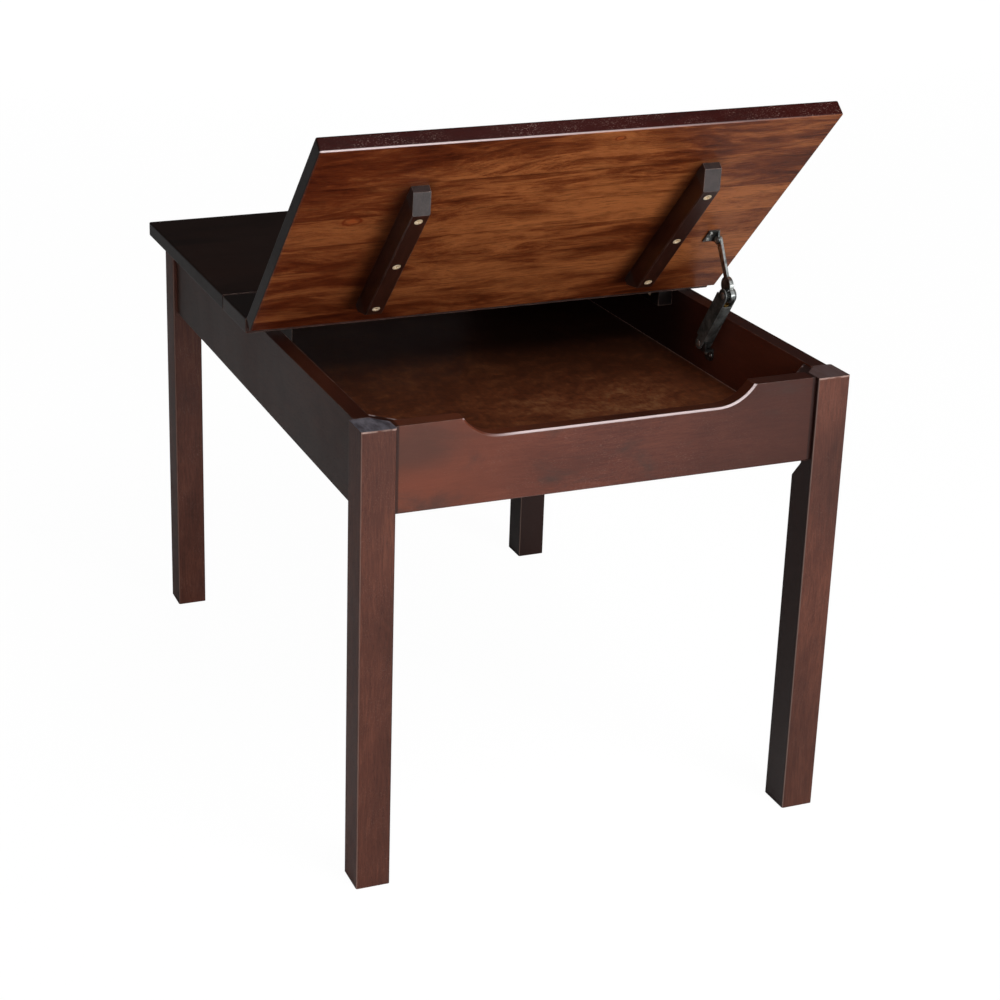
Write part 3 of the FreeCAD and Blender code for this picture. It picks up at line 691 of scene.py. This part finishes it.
def front_apron():
    """Front apron: painted light on the left and painted shade to the right, painted shadow beside the legs,
    and painted highlights along the scoop's front arris and the top arris.
    """
    material = stained_board("stained_front_board", "X", (0.4, 1.3, 0.2))
    make, socket, face = reopened(material)
    x, y, z = make.split(make.place())
    clouds = make.noise(make.place(), (11, 1, 26), 5.0, 0.62, 0.5, (0.9, 0, 0.3))
    scoop_corner = make.distance(make.weighed(x, 0.5, 0.112), 0.0, make.minus(z, leg_top - SCOOP_DEPTH))
    # Painted light on the left and painted shade to the right; grey clouds in the stain; painted shadow in a
    # thin line beside each leg.
    face = make.laid(
        face, (PAINTED_SHADE_TONE, make.between(x, -0.3 * bin_half_width, 1.1 * bin_half_width), 0.85),
        (PAINTED_LIGHT_TONE, make.between(x, 0.1 * bin_half_width, -1.0 * bin_half_width), 0.6),
        (STAIN_GREY, make.between(clouds, 0.5, 0.72), 0.7),
        (STAIN_GREY, make.between(make.weighed(clouds, 0.05, scoop_corner), 0.066, 0.03), 0.6),
        (STAIN_DEEP, make.past(make.size(x), apron_end, -5.0, -3.4), 0.8),
    )
    # Painted highlight along the scoop's front arris, and fainter along the apron's top arris.
    forward = make.size(make.facing()[1])
    aside = make.maths("SQRT", make.minus(1.0, make.times(forward, forward)))
    arris = make.between(make.times(forward, aside), 0.25, 0.46)
    highlight_mask = make.times(
        arris, make.past(z, leg_top - SCOOP_DEPTH, -2, 1), make.past(y, -bin_half_depth, -13, -15),
        make.past(x, 0, -150, -96), make.past(x, 0, 176, 166),
    )
    top_arris_highlight = make.times(make.past(z, leg_top, -2.2, -1.4), arris)
    highlight_mask = make.maths("MULTIPLY_ADD", top_arris_highlight, 0.35, highlight_mask, clamp=True)
    make.link(make.mixed(highlight_mask, face, PAINTED_HIGHLIGHT_WHITE), socket)
    return material


def side_apron():
    """Side apron: a painted grey sheen outside, redder towards the bin, and painted shade inside under the
    closed parts of the top.
    """
    material = stained_board("stained_side_board", "Y", (1.7, 0.5, 2.2))
    make, socket, face = reopened(material)
    x, y = make.split(make.place())[:2]
    outward = make.times(x, make.facing()[0])
    inside = make.between(outward, -0.1, -0.25)
    # Painted grey sheen on the outer face; painted shade on the inner face under the closed top.
    face = make.laid(
        face, (GREY_SHEEN_OUTSIDE, make.between(outward, 0.1, 0.25), 0.5), (STAIN_INSIDE, inside, 0.5),
        (STAIN_DEEP, inside, make.between(y, -0.20, -0.02)),
    )
    make.link(face, socket)
    return material


def corner_block():
    """Corner block: dark, with a painted highlight along the arris of its slanting face."""
    material = stained_board("stained_corner_block", "Z", (0.3, 2.3, 0), body=BLOCK_BROWN, light=BLOCK_LIGHT)
    make, socket, face = reopened(material)
    x, y, z = make.split(make.place())
    slant = math.sqrt(0.5)
    inset = make.plus(make.size(x), make.size(y))
    inset = make.weighed(inset, -slant, (bin_half_width + bin_half_depth) * slant)
    # Painted highlight along the top arris of the slanting face.
    highlight_rim = make.times(
        make.past(inset, BLOCK_FRONT, -2.6, -1.4), make.past(z, block_high.z, -2.0, -0.8),
        make.between(make.noise(make.place(), 70.0, 3.0), 0.42, 0.6),
    )
    make.link(make.laid(face, (PAINTED_HIGHLIGHT_WHITE, highlight_rim, 0.8)), socket)
    return material


# distance of each glued joint from the middle of the table, and the tone of the board beyond it
LID_JOINTS = ((0.0, 0.50), (-0.118, 0.62), (-0.172, 0.40), (-0.226, 0.84), (-0.279, 0.52), (-0.338, 0.66))

# centre and size of each knot in a lid's underside
LID_KNOTS = {
    "front": (((-0.2328, -0.2718, lid_underside), 6.5 * MM), ((0.0377, -0.395, lid_underside), 3.6 * MM)),
    "rear": (((0.142, -0.318, lid_underside), 4.5 * MM),),
}


def glued_boards(make, y):
    """Tone of each of a lid's boards, and the dark line of each joint between them."""
    tone = 0.0
    line = 0.0
    for place, grey in LID_JOINTS:
        beyond = make.under(y, place)
        tone = make.plus(make.times(tone, make.minus(1.0, beyond)), make.times(beyond, grey))
        gap = make.size(make.minus(y, place))
        line = make.maths("MAXIMUM", line, make.past(gap, 0, 0.8, 0.2))
    return tone, line


def joined_knots(make, vector, knots):
    """The bend of the grain and the masks of ring and core, for all the knots of a lid."""
    bend, ring, core = 0.0, 0.0, 0.0
    for centre, size in knots:
        knot = make.grouped(KNOT, vector=vector, centre=centre, size=size)
        bend = make.plus(knot["Bend"], bend)
        ring = make.maths("MAXIMUM", knot["Ring"], ring)
        core = make.maths("MAXIMUM", knot["Core"], core)
    return bend, ring, core


def broad_tone(make, x, y):
    """Slow changes over a lid's underside: paler in its middle, darker at its free corners."""
    broad = make.plus(make.between(x, -0.38, 0.02), make.between(y, -0.03, -0.13))
    corners = make.weighed(make.between(make.size(x), 0.04, 0.20), 0.75, 0.35)
    broad = make.minus(broad, make.times(make.between(y, -0.24, -0.35), corners))
    return make.minus(broad, make.between(make.minus(x, y), 0.42, 0.66))


def painted_batten_shadow(make, x, y):
    """Mask of the painted shadow beside a lid's battens, wider on their left."""
    beside = make.weighed(make.above(x, 0.0), -2 * batten_x, make.plus(x, batten_x))
    from_middle = make.size(make.minus(y, batten_middle_y))
    half = batten_length / 2
    return make.times(
        make.past(beside, 0, -38, -8), make.past(beside, 0, 24, 6), make.past(from_middle, half, 16, -6),
    )


def lid_wood(end):
    """Lid in its closed place: nearly black on top and at its edges, warm and pale below."""
    material, make, sockets = new_material("stained_lid_" + end, 0.04, 0.4, 0.16)
    vector = follow(make, closed_to_open(end).inverted())
    x, y, z = make.split(vector)
    tone_of_board, line = glued_boards(make, y)
    bend, ring, core = joined_knots(make, vector, LID_KNOTS[end])
    apart = make.times(tone_of_board, 3.7)
    along = make.combined(make.plus(x, apart), make.plus(y, bend), make.plus(z, apart))
    patterns = wood_patterns(make, along, vector, 0.06, 2.0 * MM)
    grain, arris, marks = patterns
    tone = grain_tone(make, grain, 0.0, Fibre=0.35, Figure=0.95, Streaks=0.6, Cloud=0.65)
    tone = make.weighed(tone_of_board, 0.35, tone)
    tone = make.weighed(broad_tone(make, x, y), 0.11, make.minus(tone, 0.12))

    under = make.mixed(make.between(tone, 1.14, 1.49), UNDER_DEEP, UNDER_WARM)
    under = make.mixed(make.between(tone, 1.39, 1.69), under, UNDER_PALE)
    under = make.laid(
        under, (UNDER_RED, make.between(x, -0.02, -0.27), 0.3),
        (UNDER_DEEP, make.between(grain["Streaks"], 0.5, 0.62), 0.48), (KNOT_RED, ring, 0.85),
        # The last coat here is painted shadow beside the battens.
        (KNOT_CORE, core, 0.9), (UNDER_DEEP, line, 0.45), (UNDER_DEEP, painted_batten_shadow(make, x, y), 0.72),
    )
    over = make.mixed(make.between(tone, 1.0, 1.7), TOP_DEEP, TOP_BROWN)
    edge = make.mixed(make.between(tone, 0.9, 1.6), EDGE_DEEP, EDGE_RED)
    edge = make.laid(edge, (PALE_WEAR_AND_HIGHLIGHT, marks["Specks"], 0.45))
    sawn_end = make.past(make.size(x), lid_half_width, -1.4, -0.4)
    edge = make.mixed(sawn_end, edge, SAWN_END)

    below = make.past(z, lid_underside, 1.2, 0.3)
    above = make.past(z, top_surface, -1.6, -0.4)
    face = make.mixed(below, make.mixed(above, edge, over), under)
    # Pale thin stain with a painted highlight on the arrises; then a painted highlight along the lower front
    # arris, brightest on the left.
    face = make.laid(face, (PALE_WEAR_AND_HIGHLIGHT, arris["Mask"], 0.55))
    highlight_mask = make.times(
        make.past(y, -lid_edge, 1.9, 1.0), make.past(z, lid_underside, 1.9, 0.9),
        make.between(x, 1.1 * lid_half_width, -0.9 * lid_half_width),
    )
    satin(make, sockets, make.mixed(highlight_mask, face, PAINTED_HIGHLIGHT_WHITE), patterns, 0.22)
    return material


def batten_wood(end):
    """Batten: dark red brown, with a painted grey sheen on its bevelled ends, a dark ring round each screw,
    and pale arrises with a painted highlight.
    """
    material, make, sockets = new_material("stained_batten_" + end, 0.3, 0.22, 0.45)
    to_closed = closed_to_open(end).inverted()
    vector = follow(make, grain_along("Y") @ to_closed)
    patterns = wood_patterns(make, vector, vector, 0.03, 1.0 * MM)
    grain, arris, marks = patterns
    tone = grain_tone(make, grain, grain["Figure"], Fibre=0.6)
    face = make.mixed(make.between(tone, 0.55, 1.05), STAIN_DEEP, BATTEN_BROWN)
    x, y = make.split(follow(make, to_closed))[:2]
    along = make.minus(y, batten_middle_y)
    nearest = make.maths("ROUND", make.maths("DIVIDE", along, BATTEN_SCREW_PITCH))
    from_screw = make.distance(
        make.minus(make.size(x), batten_x), make.weighed(nearest, -BATTEN_SCREW_PITCH, along), 0.0,
    )
    sawn = make.past(make.size(along), batten_length / 2 - BATTEN_BEVEL, -0.6, 0.6)
    # Painted grey sheen on the sawn ends.
    end_sheen = make.mixed(make.between(tone, 0.5, 1.1), BATTEN_END_SHEEN_DARK, BATTEN_END_SHEEN_GREY)
    face = make.laid(
        face, (SCREW_RING_DARK, make.past(from_screw, 0, 6.8, 5.6), 0.8), (end_sheen, sawn, 0.7),
        (PALE_WEAR_AND_HIGHLIGHT, arris["Mask"], make.weighed(sawn, 0.35, 0.5)),
    )
    satin(make, sockets, face, patterns, 0.24)
    return material


def bin_panel():
    """Thin veneered panel: dark, with tan clouds where the stain took badly, a painted pool of light towards
    the front, painted shade towards the rear, and raw below.
    """
    material, make, sockets = new_material("veneered_bin_panel", 0.35, 0.2, 0.4)
    vector = make.place()
    patterns = wood_patterns(make, make.moved(vector, turn=(0, 0, math.pi / 2)), vector, 0.05, 0.8 * MM)
    grain = patterns[0]
    cloud = make.noise(vector, (16, 20, 1), 9.0, 0.78, 0.4, (3.1, 0.4, 0))
    mottle = make.noise(vector, (120, 150, 1), 4.0, 0.65, place=(1.1, 2.4, 0))
    cloud = make.weighed(mottle, 0.38, make.times(cloud, 0.62))
    x, y = make.split(vector)[:2]
    tone = make.minus(grain_tone(make, grain, cloud, Fibre=0.25), 0.03)
    # Painted pool of light towards the front of the panel.
    from_light_pool = make.distance(make.minus(x, 0.09), make.plus(y, 0.24), 0.0)
    tone = make.weighed(make.between(from_light_pool, 0.24, 0.02), 0.10, tone)
    face = make.mixed(make.between(tone, 0.54, 0.72), PANEL_DARK, PANEL_BROWN)
    face = make.mixed(make.between(tone, 0.66, 0.82), face, PANEL_TAN)
    beside_apron = make.past(make.size(x), bin_half_width, -1.6, -0.9)
    # Painted shade towards the rear; a pale strip beside the side aprons.
    face = make.laid(
        face, (PANEL_PAINTED_SHADE, make.between(y, -0.04, 0.07), 0.8), (PALE_WEAR_AND_HIGHLIGHT, beside_apron, 0.7),
    )
    raw = make.mixed(make.between(grain["Figure"], 0.3, 0.7), PANEL_RAW_DARK, PANEL_RAW)
    face = make.mixed(make.above(make.facing()[2], 0.0), raw, face)
    satin(make, sockets, face, patterns, 0.24, 0.2)
    return material


# ---------------- metal


def metal(name, dark, bright, smooth, rough, metallic=1.0, coat=0.0):
    """Plated or coated metal: fine scratches in its shine, small pits, and brighter edges, partly worn
    plating and partly a painted highlight.

    smooth and rough are the roughness of its cleanest and of its most scratched places.
    """
    material, make, sockets = new_material(name, coat, 0.2, metallic=metallic)
    vector = make.place()
    arris = make.grouped(ARRIS, vector=vector, radius=0.5 * MM)
    scratches = make.noise(vector, (500, 40, 500), 4.0, 0.7)
    tarnish = make.noise(vector, 90.0, 5.0, 0.65, 0.4)
    face = make.mixed(make.between(tarnish, 0.3, 0.72), dark, bright)
    roughness = make.weighed(tarnish, 0.12, make.weighed(scratches, rough - smooth, smooth))
    pitted = make.weighed(make.noise(vector, 1800.0, 2.0), 0.4, scratches)
    inputs = {"Height": pitted, "Distance": 0.03 * MM, "Strength": 0.4, "Normal": arris["Normal"]}
    make.link(make.add("ShaderNodeBump", inputs), sockets["Normal"])
    # Bright colour on the arrises: worn plating with a painted highlight.
    make.link(make.laid(face, (bright, arris["Mask"], 0.5)), sockets["Base Color"])
    make.link(roughness, sockets["Roughness"])
    return material


ZINC = metal("zinc_plate", colour(150, 152, 150), colour(214, 214, 208), 0.22, 0.4)
PALE_BRASS = metal("pale_brass_plate", colour(232, 202, 158), colour(255, 240, 212), 0.3, 0.5, 0.2)
BLACK_STEEL = metal("blackened_steel", colour(58, 62, 61), colour(116, 120, 118), 0.34, 0.5, 0.25, 0.15)
GREY_STEEL = metal("rolled_grey_steel", colour(58, 62, 62), colour(124, 128, 127), 0.24, 0.42, 0.85)
BRIGHT_STEEL = metal("drawn_bright_steel", colour(84, 88, 88), colour(206, 210, 208), 0.2, 0.36, 0.9)
RIVET = metal("nickel_rivet", colour(112, 112, 108), colour(204, 202, 196), 0.2, 0.34, 0.85)
SPRING_WIRE = metal("oiled_spring_wire", colour(120, 92, 60), colour(190, 160, 118), 0.2, 0.36)
BRONZE = metal("greased_bronze", colour(146, 104, 46), colour(228, 188, 108), 0.2, 0.34)

# ---------------- finishes on the nodes


def finish_nodes():
    """Gives the listed nodes of the model their finish."""
    finishes = [
        (leg_wood(), ["leg_" + corner for corner in CORNERS]),
        (corner_block(), ["corner_block_" + corner for corner in CORNERS]),
        (front_apron(), ["apron_front"]),
        (stained_board("stained_rear_board", "X", (1.2, 0.7, 2.9)), ["apron_rear"]),
        (side_apron(), ["apron_" + side for side in SIDES]),
        (stained_board("stained_cleat", "Y", (0.3, 1.1, 0), CLEAT_DEEP, CLEAT_BROWN, STAIN_DEEP),
         ["centre_cleat_" + side for side in SIDES]),
        (bin_panel(), ["bin_floor"]),
        (stained_board("stained_centre_board", "X", (0.9, 0.1, 3.1), TOP_DEEP, TOP_BROWN, STAIN_RED, 0.22),
         ["centre_board"]),
    ]
    for end in ENDS:
        finishes += [
            (lid_wood(end), ["lid_" + end]),
            (batten_wood(end), ["batten_" + end + "_" + side for side in SIDES]),
            (BLACK_STEEL, ["stay_housing_" + end]),
            (BRIGHT_STEEL, ["stay_arm_" + end]),
            (GREY_STEEL, ["stay_foot_" + end, "stay_lid_bracket_" + end]),
            (BRONZE, ["stay_plunger_" + end]),
            (PALE_BRASS, ["hinge_leaves_lid_" + end, "hinge_leaves_centre_" + end]),
        ]
    for material, names in finishes:
        for name in names:
            mesh = nodes[name].data
            mesh.materials.clear()
            mesh.materials.append(material)


finish_nodes()

# ---------------- screws

BATTEN_HEAD = 5.0 * MM
BATTEN_HEAD_PROUD = 0.3 * MM
BATTEN_SCREW_BITE = 11.0 * MM  # into the lid


def make_batten_screws():
    """Three countersunk screws up through each batten, their heads a little proud of its face."""
    shape = screw_skin(BATTEN_HEAD, lid_underside - batten_foot + BATTEN_SCREW_BITE)
    for end in ENDS:
        skins = []
        for x in (-batten_x, batten_x):
            for step in (-1, 0, 1):
                at = Vector((x, batten_middle_y + step * BATTEN_SCREW_PITCH, batten_foot - BATTEN_HEAD_PROUD))
                skins.append(placed(shape, closed_to_open(end) @ aim(at, (0, 0, 1))))
        screws = piece("batten_screw_set_" + end, skins, end + "_lid", PALE_BRASS)
        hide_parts("batten_screws_" + end)


make_batten_screws()

# ---------------- lid stays

STAY_REACH = 87.4 * MM  # foot pivot to elbow
RIVET_RADIUS = 4.2 * MM
RIVET_HEIGHT = 1.5 * MM
HOUSING_HALF = 7.0 * MM
LID_RIVET_REACH = (0.8 * MM, 4.5 * MM)  # to the left and right of the front stay's upper pivot


def housing_line(end):
    """Direction from a stay's foot pivot to its elbow, along which the spring lies."""
    low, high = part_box("stay_spring_" + end)
    axis = Vector(joints[end + "_stay_spring"]["axis"])
    ahead = (low + high) / 2 - joint_place(end + "_stay_foot")
    return axis if ahead.dot(axis) > 0 else -axis


def elbow_place(end):
    return joint_place(end + "_stay_foot") + housing_line(end) * STAY_REACH


def rivet_heads(name, pivot, near, far, body):
    """Two peened heads of one rivet, near and far along X from its pivot."""
    head = rivet_head(RIVET_RADIUS, RIVET_HEIGHT)
    skins = [
        placed(head, aim(pivot + Vector((far, 0, 0)), (1, 0, 0))),
        placed(head, aim(pivot + Vector((near, 0, 0)), (-1, 0, 0))),
    ]
    piece(name, skins, body, RIVET)


def make_rivets():
    """Peened heads at both ends of each of a stay's three rivets."""
    for end in ENDS:
        foot = joint_place(end + "_stay_foot")
        top = joint_place(end + "_stay_lid_pivot")
        inner, outer = LID_RIVET_REACH if end == OPEN_LID else reversed(LID_RIVET_REACH)
        rivet_heads("stay_foot_rivet_heads_" + end, foot, -HOUSING_HALF, HOUSING_HALF, "frame")
        rivet_heads("stay_elbow_rivet_heads_" + end, elbow_place(end), -HOUSING_HALF, HOUSING_HALF,
                    end + "_stay_housing")
        rivet_heads("stay_lid_rivet_heads_" + end, top, -inner, outer, end + "_lid")


make_rivets()

SPRING_SEAT = 13.5 * MM  # from the foot pivot
SPRING_OFFSET = 2.0 * MM  # of the spring's line from the line of the pivots
SPRING_COIL = 3.4 * MM
WIRE_RADIUS = 0.65 * MM
SPRING_TURNS = 9


def make_springs():
    """Coil springs along each stay's housing, from the spring's seat by the foot pivot; they ride on no body.
    """
    for end in ENDS:
        side = 1 if end == OPEN_LID else -1
        foot = joint_place(end + "_stay_foot")
        along = housing_line(end)
        across = Vector((side, 0, 0)).cross(along)
        low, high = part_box("stay_spring_" + end)
        half = ((low + high) / 2 - foot).dot(along) - SPRING_SEAT
        start = foot + along * SPRING_SEAT + across * SPRING_OFFSET
        turn = Matrix((across.cross(along), along, -across)).transposed().to_4x4()
        skin = coil_spring(SPRING_COIL, WIRE_RADIUS, 2 * half, SPRING_TURNS)
        made = piece("stay_coil_spring_" + end, [placed(skin, Matrix.Translation(start) @ turn)],
                     None, SPRING_WIRE)
        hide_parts("stay_spring_" + end)
        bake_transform(made)


make_springs()

FOOT_SCREW_STEPS = (-0.5 * MM, 10.5 * MM)  # to the rear of the foot pivot
FOOT_SCREW_DROP = 17.0 * MM
FOOT_METAL = 2.0 * MM
BRACKET_SCREW_INSET = 8.8 * MM  # from the stay's plane
BRACKET_SCREW_PITCH = 12.0 * MM
PAN_HEAD = 2.9 * MM
PAN_HEIGHT = 1.1 * MM


def make_stay_screws():
    """Pan heads on the foot's plate and on the lid bracket."""
    head = screw_head(PAN_HEAD, PAN_HEIGHT)
    for end in ENDS:
        half = half_of(end)
        foot = half @ joint_place(end + "_stay_foot")
        z = foot.z - FOOT_SCREW_DROP
        skins = [
            placed(head, half @ aim((bin_half_width - FOOT_METAL, foot.y + step, z), (-1, 0, 0)))
            for step in FOOT_SCREW_STEPS
        ]
        piece("stay_foot_screw_heads_" + end, skins, "frame", ZINC)
        lid_pivot = closed_to_open(end).inverted() @ joint_place(end + "_stay_lid_pivot")
        skins = []
        for side in (-1, 1):
            along = lid_pivot.y + side * BRACKET_SCREW_PITCH / 2
            at = (lid_pivot.x - BRACKET_SCREW_INSET, along, lid_underside - FOOT_METAL)
            skins.append(placed(head, closed_to_open(end) @ aim(at, (0, 0, -1))))
        piece("stay_bracket_screw_heads_" + end, skins, end + "_lid", ZINC)


make_stay_screws()

# ---------------- hinges

HINGE_X = 200.0 * MM
HINGE_SCREW_PITCH = 48.0 * MM
HINGE_SCREW_DROP = 9.0 * MM
LEAF_FACE = 0.2 * MM  # of a leaf, from the plane of the hinge pin
LEAF_HEAD = 2.6 * MM
LEAF_HEAD_HEIGHT = 0.16 * MM


def make_hinge_screws():
    """Nearly flush heads on the leaves of the lids and of the centre board."""
    head = screw_head(LEAF_HEAD, LEAF_HEAD_HEIGHT)
    for end in ENDS:
        y = -abs(hinge[end].y)
        z = top_surface - HINGE_SCREW_DROP
        places = [(side * HINGE_X + step * HINGE_SCREW_PITCH / 2, z) for side in (-1, 1) for step in (-1, 1)]
        lid_skins = [
            placed(head, closed_to_open(end) @ aim((x, y - LEAF_FACE, z), (0, 1, 0))) for x, z in places
        ]
        board_skins = [placed(head, half_of(end) @ aim((x, y + LEAF_FACE, z), (0, -1, 0))) for x, z in places]
        piece("hinge_screw_heads_lid_" + end, lid_skins, end + "_lid", PALE_BRASS)
        piece("hinge_screw_heads_centre_" + end, board_skins, "frame", PALE_BRASS)


make_hinge_screws()

# ---------------- corner hardware and cleats

block_middle = (block_low.z + block_high.z) / 2
BLOCK_SCREW_NEAR = 22.0 * MM
BLOCK_SCREW_SEAT = BLOCK_FRONT * math.sqrt(2) - BLOCK_SCREW_NEAR - SCREW_HEAD
BLOCK_SCREW_PITCH = 40.0 * MM
BLOCK_SCREW_LENGTH = 19.0 * MM
BOLT_RADIUS = 4.0 * MM
BOLT_PITCH = 1.4 * MM
BOLT_LENGTH = 52.1 * MM
BOLT_BEYOND_NUT = 3.0 * MM
WASHER_RADIUS = 8.5 * MM
WASHER_THICKNESS = 1.6 * MM
NUT_HEIGHT = 6.5 * MM
NUT_ACROSS_FLATS = 13.0 * MM


def washer_skin():
    """Flat washer on +Z: a turned profile, bevelled over a fifth of its thickness at both rims."""
    face = WASHER_RADIUS * 0.96
    profile = [(BOLT_RADIUS, 0), (face, 0), (WASHER_RADIUS, 0.2), (WASHER_RADIUS, 0.8), (face, 1),
               (BOLT_RADIUS, 1)]
    return turned_surface([(radius, z * WASHER_THICKNESS) for radius, z in profile], 48)


def make_corner_hardware():
    """Hanger bolt, washer, nut and two block screws in each corner of the bin."""
    rod = threaded_rod(BOLT_RADIUS, BOLT_LENGTH, BOLT_PITCH)
    washer = washer_skin()
    nut = nut_skin(NUT_ACROSS_FLATS, NUT_HEIGHT, BOLT_RADIUS)
    screw = screw_skin(SCREW_HEAD, BLOCK_SCREW_LENGTH)
    skins = {"hanger_bolts": [], "hanger_washers": [], "hanger_nuts": [], "corner_block_screws": []}
    rise = Vector((0, 0, BLOCK_SCREW_PITCH / 2))
    for side, end in ((-1, -1), (1, -1), (-1, 1), (1, 1)):
        corner = Vector((side * bin_half_width, end * bin_half_depth, block_middle))
        inward = Vector((-side, -end, 0)).normalized()
        face = corner + inward * BLOCK_FRONT
        under_nut = face + inward * WASHER_THICKNESS
        bolt_tip = under_nut + inward * (NUT_HEIGHT + BOLT_BEYOND_NUT)
        to_end_apron = corner + Vector((-side * BLOCK_SCREW_NEAR, -end * BLOCK_SCREW_SEAT, 0)) + rise
        to_side_apron = corner + Vector((-side * BLOCK_SCREW_SEAT, -end * BLOCK_SCREW_NEAR, 0)) - rise
        skins["hanger_bolts"].append(placed(rod, aim(bolt_tip, -inward)))
        skins["hanger_washers"].append(placed(washer, aim(face, inward)))
        skins["hanger_nuts"].append(placed(nut, aim(under_nut, inward)))
        skins["corner_block_screws"].append(placed(screw, aim(to_end_apron, (0, end, 0))))
        skins["corner_block_screws"].append(placed(screw, aim(to_side_apron, (side, 0, 0))))
    for name, own in skins.items():
        made = piece("detailed_" + name, own, "frame", ZINC)
        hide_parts(name)


make_corner_hardware()

cleat_low, cleat_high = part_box("centre_cleat_right")
CLEAT_SCREW_LENGTH = 30.0 * MM
CLEAT_SCREW_SUNK = 4.0 * MM
BOARD_SCREW_PITCH = 50.0 * MM
CLEAT_SCREW_PITCH = 22.0 * MM


def make_cleat_screws():
    """In each cleat, two screws up into the centre board and two across into the side apron."""
    screw = screw_skin(SCREW_HEAD, CLEAT_SCREW_LENGTH)
    middle = (cleat_low + cleat_high) / 2
    skins = []
    for side in (-1, 1):
        up = (middle.x, side * BOARD_SCREW_PITCH / 2, cleat_low.z + CLEAT_SCREW_SUNK)
        across = (cleat_low.x, side * CLEAT_SCREW_PITCH / 2, middle.z)
        skins += [placed(screw, aim(up, (0, 0, 1))), placed(screw, aim(across, (1, 0, 0)))]
    skins += [placed(skin, HALF_TURN) for skin in skins]
    made = piece("detailed_cleat_screws", skins, "frame", PALE_BRASS)
    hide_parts("centre_cleat_screws")


make_cleat_screws()

# ---------------- studio

CAMERA_PLACE = Vector((-0.9277, -2.1451, 1.2437))
CAMERA_YAW = math.radians(-18.33)
CAMERA_PITCH = math.radians(18.11)
CAMERA_ROLL = math.radians(0.07)
CAMERA_LENS = 71.4
CAMERA_SENSOR = 36.0
CAMERA_SHIFT = (0.198, -0.163)
LAMP_TARGET = Vector((0, -0.1, 0.45))
FLOOR_HALF = 14.0
FLOOR_GREYS = ((0.80, 0.80, 0.80, 1), (0.83, 0.83, 0.83, 1))
FLOOR_WHITE = 0.93  # share of plain white that the camera sees in the floor
FLOOR_GLOW = 1.05
WORLD_LEVEL = 0.03


def make_camera():
    data = bpy.data.cameras.new("studio_camera")
    data.lens = CAMERA_LENS
    data.sensor_width = CAMERA_SENSOR
    data.shift_x, data.shift_y = CAMERA_SHIFT
    data.clip_start, data.clip_end = 0.05, 100.0
    made = new_object("studio_camera", data)
    turn = Matrix.Rotation(CAMERA_YAW, 4, "Z") @ Matrix.Rotation(math.pi / 2 - CAMERA_PITCH, 4, "X")
    made.matrix_world = Matrix.Translation(CAMERA_PLACE) @ turn @ Matrix.Rotation(CAMERA_ROLL, 4, "Z")
    bpy.context.scene.camera = made


def soft_lamp(name, place, size, level, in_reflections=True):
    """Lamp of a (width, height) aimed at the table.

    level is how bright a white card square to it is there. A fill lamp isn't seen in reflections.
    """
    toward = LAMP_TARGET - Vector(place)
    data = bpy.data.lights.new(name, "AREA")
    data.shape = "RECTANGLE"
    data.size, data.size_y = size
    data.energy = level * math.pi**2 * toward.length**2
    made = new_object(name, data)
    turn = toward.to_track_quat("-Z", "Y").to_matrix().to_4x4()
    made.matrix_world = Matrix.Translation(Vector(place)) @ turn
    made.visible_glossy = in_reflections


def make_lamps():
    soft_lamp("front_right_lamp", (1.4, -3.6, 1.0), (1.8, 0.9), 0.38)
    soft_lamp("front_left_lamp", (-1.3, -3.6, 1.7), (1.6, 1.6), 0.20)
    soft_lamp("high_front_lamp", (0.6, -2.2, 3.3), (2.0, 2.0), 0.36)
    soft_lamp("rear_fill", (2.4, 7.0, 1.1), (4.0, 2.0), 0.35, in_reflections=False)


def make_floor():
    """Pale floor that keeps the table's shadow, runs out to white and is clear from below."""
    material = bpy.data.materials.new("pale_studio_floor")
    material.use_nodes = True
    make = Maker(material.node_tree)
    material.node_tree.nodes.remove(material.node_tree.nodes["Principled BSDF"])
    paint = make.mixed(make.noise(make.place(), 30.0, 3.0), *FLOOR_GREYS)
    matt = make.add("ShaderNodeBsdfDiffuse", {"Color": paint})
    white = make.add("ShaderNodeEmission", {"Color": (1, 1, 1, 1), "Strength": FLOOR_GLOW})
    seen = make.add("ShaderNodeLightPath", output="Is Camera Ray")
    surface = make.add("ShaderNodeMixShader", {0: make.times(seen, FLOOR_WHITE), 1: matt, 2: white})
    from_below = make.times(seen, make.add("ShaderNodeNewGeometry", output="Backfacing"))
    clear = make.add("ShaderNodeBsdfTransparent")
    surface = make.add("ShaderNodeMixShader", {0: from_below, 1: surface, 2: clear})
    make.link(surface, material.node_tree.nodes["Material Output"].inputs["Surface"])
    mesh = bpy.data.meshes.new("studio_floor")
    corners = [(x, y, 0) for x, y in ((-1, -1), (1, -1), (1, 1), (-1, 1))]
    mesh.from_pydata((np.array(corners) * FLOOR_HALF).tolist(), [], [(0, 1, 2, 3)])
    mesh.materials.append(material)
    floor = new_object("studio_floor", mesh)


def make_world():
    """White to the camera, and a dim even light on everything else."""
    world = bpy.data.worlds.new("studio_world")
    world.use_nodes = True
    bpy.context.scene.world = world
    make = Maker(world.node_tree)
    background = world.node_tree.nodes["Background"].inputs
    background["Color"].default_value = (1, 1, 1, 1)
    seen = make.add("ShaderNodeLightPath", output="Is Camera Ray")
    make.link(make.weighed(seen, 1 - WORLD_LEVEL, WORLD_LEVEL), background["Strength"])


bpy.context.scene.view_settings.view_transform = "Standard"
make_camera()
make_lamps()
make_floor()
make_world()
